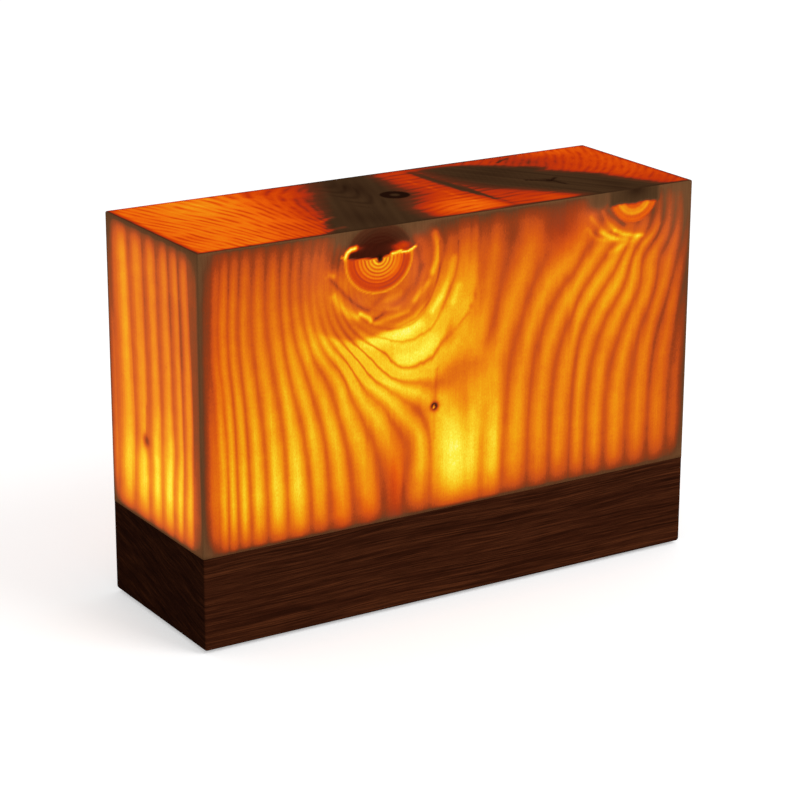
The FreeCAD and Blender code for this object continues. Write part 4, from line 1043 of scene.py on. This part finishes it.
def metal(slot, colour, roughness, lines=(600, 4000, 600)):
    """Worked metal: noise squeezed across its lines, in colour, gloss and relief."""
    finish = Finish(slot, Metallic=1.0)
    scratches = finish.noise(finish.place(lines), 1.0, 3, 0.6)
    smudge = finish.noise(finish.place((180, 180, 180)), 1.0, 3)
    bright = finish.grade(scratches, (0.35, 0), (0.65, 1))
    finish.set(Base_Color=finish.mix(bright, shaded(colour, 0.65), tint(*colour)),
               Roughness=finish.grade(smudge, (0.3, roughness * 0.8), (0.7, roughness * 1.25)))
    finish.bump(scratches, 0.00001)
    dress(finish, *in_slot[slot])
    return finish


def moulded(slot, colour, roughness, sand=2600, depth=0.00002):
    """Moulded plastic or rubber: a sand texture in the relief, and clouds in colour and gloss."""
    finish = Finish(slot, Specular_IOR_Level=0.4)
    fine = finish.noise(finish.place((sand, sand, sand)), 1.0, 2)
    cloud = finish.noise(finish.place((120, 120, 120)), 1.0, 3)
    pale = finish.grade(cloud, (0.3, 0), (0.7, 1))
    finish.set(Base_Color=finish.mix(pale, tint(*colour), shaded(colour, 1.3)),
               Roughness=finish.grade(cloud, (0.3, roughness * 0.85), (0.7, roughness * 1.1)))
    finish.bump(fine, depth)
    dress(finish, *in_slot[slot])
    return finish


metal("screw_steel", (176, 176, 178), 0.35)
spring_steel = metal("spring_steel", (170, 170, 172), 0.32)
metal("contact_nickel", (202, 198, 186), 0.30)
metal("capacitor_can", (206, 206, 207), 0.30)
metal("brass", (196, 160, 92), 0.30)
moulded("cover_plastic", (34, 33, 33), 0.55)
moulded("black_plastic", (28, 28, 30), 0.45)
moulded("chip_plastic", (30, 30, 31), 0.5)
moulded("foot_rubber", (36, 35, 35), 0.85, sand=1400, depth=0.00004)
moulded("socket_plastic", (226, 220, 204), 0.5)
moulded("lead_red", (160, 26, 24), 0.5)
moulded("lead_black", (26, 26, 27), 0.5)
moulded("milky_ring", (222, 226, 228), 0.35)
moulded("light_board_white", (226, 225, 220), 0.4)
emitter = moulded("emitter", (255, 222, 140), 0.4)
emitter.set(Emission_Color=tint(255, 210, 130), Emission_Strength=1.0)
print(len(in_slot), "slots, most of them dressed")

# %% [markdown]
# ### The turned fittings
#
# The button and the charging socket sit in steel barrels that come off a lathe, so their
# faces carry fine circles about the barrel's own axis. A noise that reads only the
# distance from that axis gives such circles, and one finish for each fitting keeps them
# centred. The socket's mouth is a drawn shell, so it keeps straight lines.

# %% Turned steel
STEEL, CIRCLES_PER_METRE = (198, 197, 195), 5200


def turned(fitting, pieces):
    """Steel off the lathe: noise over the distance from the first piece's middle, in colour and relief."""
    first, last = (np.array(corner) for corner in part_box(pieces[0]))
    middle_x, _, middle_z = (first + last) / 2
    finish = Finish(fitting + "_steel", Metallic=1.0)
    round_axis = finish.place((1, 0, 1), offset=(-middle_x, 0, -middle_z))
    radius = finish.node("VectorMath", {0: round_axis}, output="Value", operation="LENGTH")
    turns = finish.node("CombineXYZ", {"X": finish.times(radius, CIRCLES_PER_METRE)})
    circles = finish.noise(turns, 1.0, 3, 0.7)
    smudge = finish.noise(finish.place((160, 160, 160)), 1.0, 3)
    bright = finish.grade(circles, (0.36, 0), (0.64, 1))
    finish.set(Base_Color=finish.mix(bright, shaded(STEEL, 0.62), tint(*STEEL)),
               Roughness=finish.grade(smudge, (0.3, 0.24), (0.7, 0.36)))
    finish.bump(circles, 0.00002)
    dress(finish, *pieces)


metal("fitting_steel", (200, 199, 197), 0.28, lines=(3000, 300, 3000))
turned("button", ["button_cap", "button_barrel", "button_nut"])
turned("socket", ["port_barrel", "port_nut"])
print("two fittings turned about their axes")

# %% [markdown]
# ### The return spring
#
# Behind the button's cap a coiled wire pushes it out again. A pressed spring gets shorter,
# which a rigid piece can't do, so the wire is wound anew here: a circle carried along a
# helix.

# %% Return spring
WIRE_RADIUS, SPRING_TURNS, BUTTON_TRAVEL = 0.0003, 5, 0.0015


def coil(middle, radius, start_y, end_y, wire, turns, steps=48, sides=12):
    """A tube round a helix about y. A point of the helix lies at the radius in the direction of its
    turn; the tube's circle lies in the plane of that direction and of its cross product with the
    heading."""
    turn = np.linspace(0, turns, turns * steps + 1)
    angle = 2 * np.pi * turn
    outward = np.stack([np.cos(angle), np.zeros_like(angle), np.sin(angle)], axis=1)
    centre = middle + radius * outward + np.outer(start_y + (end_y - start_y) * turn / turns, (0, 1, 0))
    heading = np.gradient(centre, axis=0)
    heading /= np.linalg.norm(heading, axis=1, keepdims=True)
    sideways = np.cross(heading, outward)
    round_wire = 2 * np.pi * np.arange(sides) / sides
    return centre[:, None] + wire * (np.cos(round_wire)[None, :, None] * outward[:, None]
                                     + np.sin(round_wire)[None, :, None] * sideways[:, None])


spring_low, spring_high = (np.array(corner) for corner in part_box("button_spring"))
spring_middle = (spring_low + spring_high) / 2 * (1, 0, 1)
coil_radius = (spring_high[2] - spring_low[2]) / 2 - WIRE_RADIUS
rings = coil(spring_middle, coil_radius, spring_high[1] - WIRE_RADIUS, spring_low[1] + WIRE_RADIUS,
             WIRE_RADIUS, SPRING_TURNS)
at = np.arange(rings.shape[0] * rings.shape[1]).reshape(rings.shape[:2])
beside = np.roll(at, -1, axis=1)
coil_faces = quads(at[:-1], beside[:-1], beside[1:], at[1:]).tolist()
coil_faces += [at[0, ::-1].tolist(), at[-1].tolist()]
spring = skin("return_spring", rings.reshape(-1, 3), coil_faces)
spring.data.materials.append(spring_steel.material)
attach(spring, "lamp")
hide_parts("button_spring")
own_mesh(spring)
print("spring of", SPRING_TURNS, "turns, %.2f mm long" % (1000 * (spring_high[1] - spring_low[1])))

# %% [markdown]
# ### Inside the lamp
#
# Three of the hidden pieces have a make of their own. The deck is plywood, so its edge
# shows plies in turn light and dark. The control board is green lacquer over copper
# tracks, which run in straight steps. Each cell wears a thin, slightly crinkled shrunk wrap.

# %% Plywood, circuit board and cells
PLY, TRACK_SCALE, BRICK_SCALE = 1.2, 320.0, 160.0

deck = Finish("painted_plywood", Roughness=0.6, Specular_IOR_Level=0.3)
height = deck.node("SeparateXYZ", {0: deck.place()}, output="Z")
plies = deck.math("PINGPONG", height, PLY)
brushed = deck.noise(deck.place((60, 900, 900)), 1.0, 3)
facing = deck.node("TexCoord", {}, output="Normal")
upright = deck.math("ABSOLUTE", deck.node("SeparateXYZ", {0: facing}, output="Z"))
edge_tone = deck.ramp(deck.math("DIVIDE", plies, PLY),
                      [(0.45, tint(206, 180, 136)), (0.55, tint(160, 122, 80))])
paint_tone = deck.ramp(brushed, [(0.35, tint(214, 207, 192)), (0.65, tint(228, 222, 208))])
deck.set(Base_Color=deck.mix(deck.grade(upright, (0.4, 0), (0.6, 1)), edge_tone, paint_tone))
deck.bump(brushed, 0.00004)
dress(deck, *in_slot["white_plywood"])

board = Finish("green_lacquer", Specular_IOR_Level=0.5)
metres = board.place((1, 1, 1))
tracks = board.node("TexVoronoi", {"Vector": metres, "Scale": TRACK_SCALE}, distance="MANHATTAN")
steps = board.node("TexBrick", {"Vector": metres, "Scale": BRICK_SCALE, "Mortar Size": 0.06}, output="Fac")
copper = board.grade(steps, (0.2, 0), (0.8, 1))
lacquer = board.ramp(tracks, [(0.25, tint(20, 72, 40)), (0.6, tint(30, 96, 54))])
board.set(Base_Color=board.mix(copper, lacquer, tint(52, 122, 70)),
          Roughness=board.grade(tracks, (0.2, 0.3), (0.6, 0.42)))
board.bump(copper, 0.00003)
dress(board, *in_slot["circuit_board"])

wrap = Finish("shrunk_wrap", Specular_IOR_Level=0.5)
crinkle = wrap.noise(wrap.place((90, 700, 700)), 1.0, 3)
wrap.set(Base_Color=wrap.ramp(crinkle, [(0.35, tint(32, 82, 138)), (0.65, tint(50, 108, 166))]),
         Roughness=wrap.grade(crinkle, (0.3, 0.24), (0.7, 0.36)))
wrap.bump(crinkle, 0.00003)
dress(wrap, *in_slot["cell_wrap"])
print("the deck, the board and the cells are dressed")
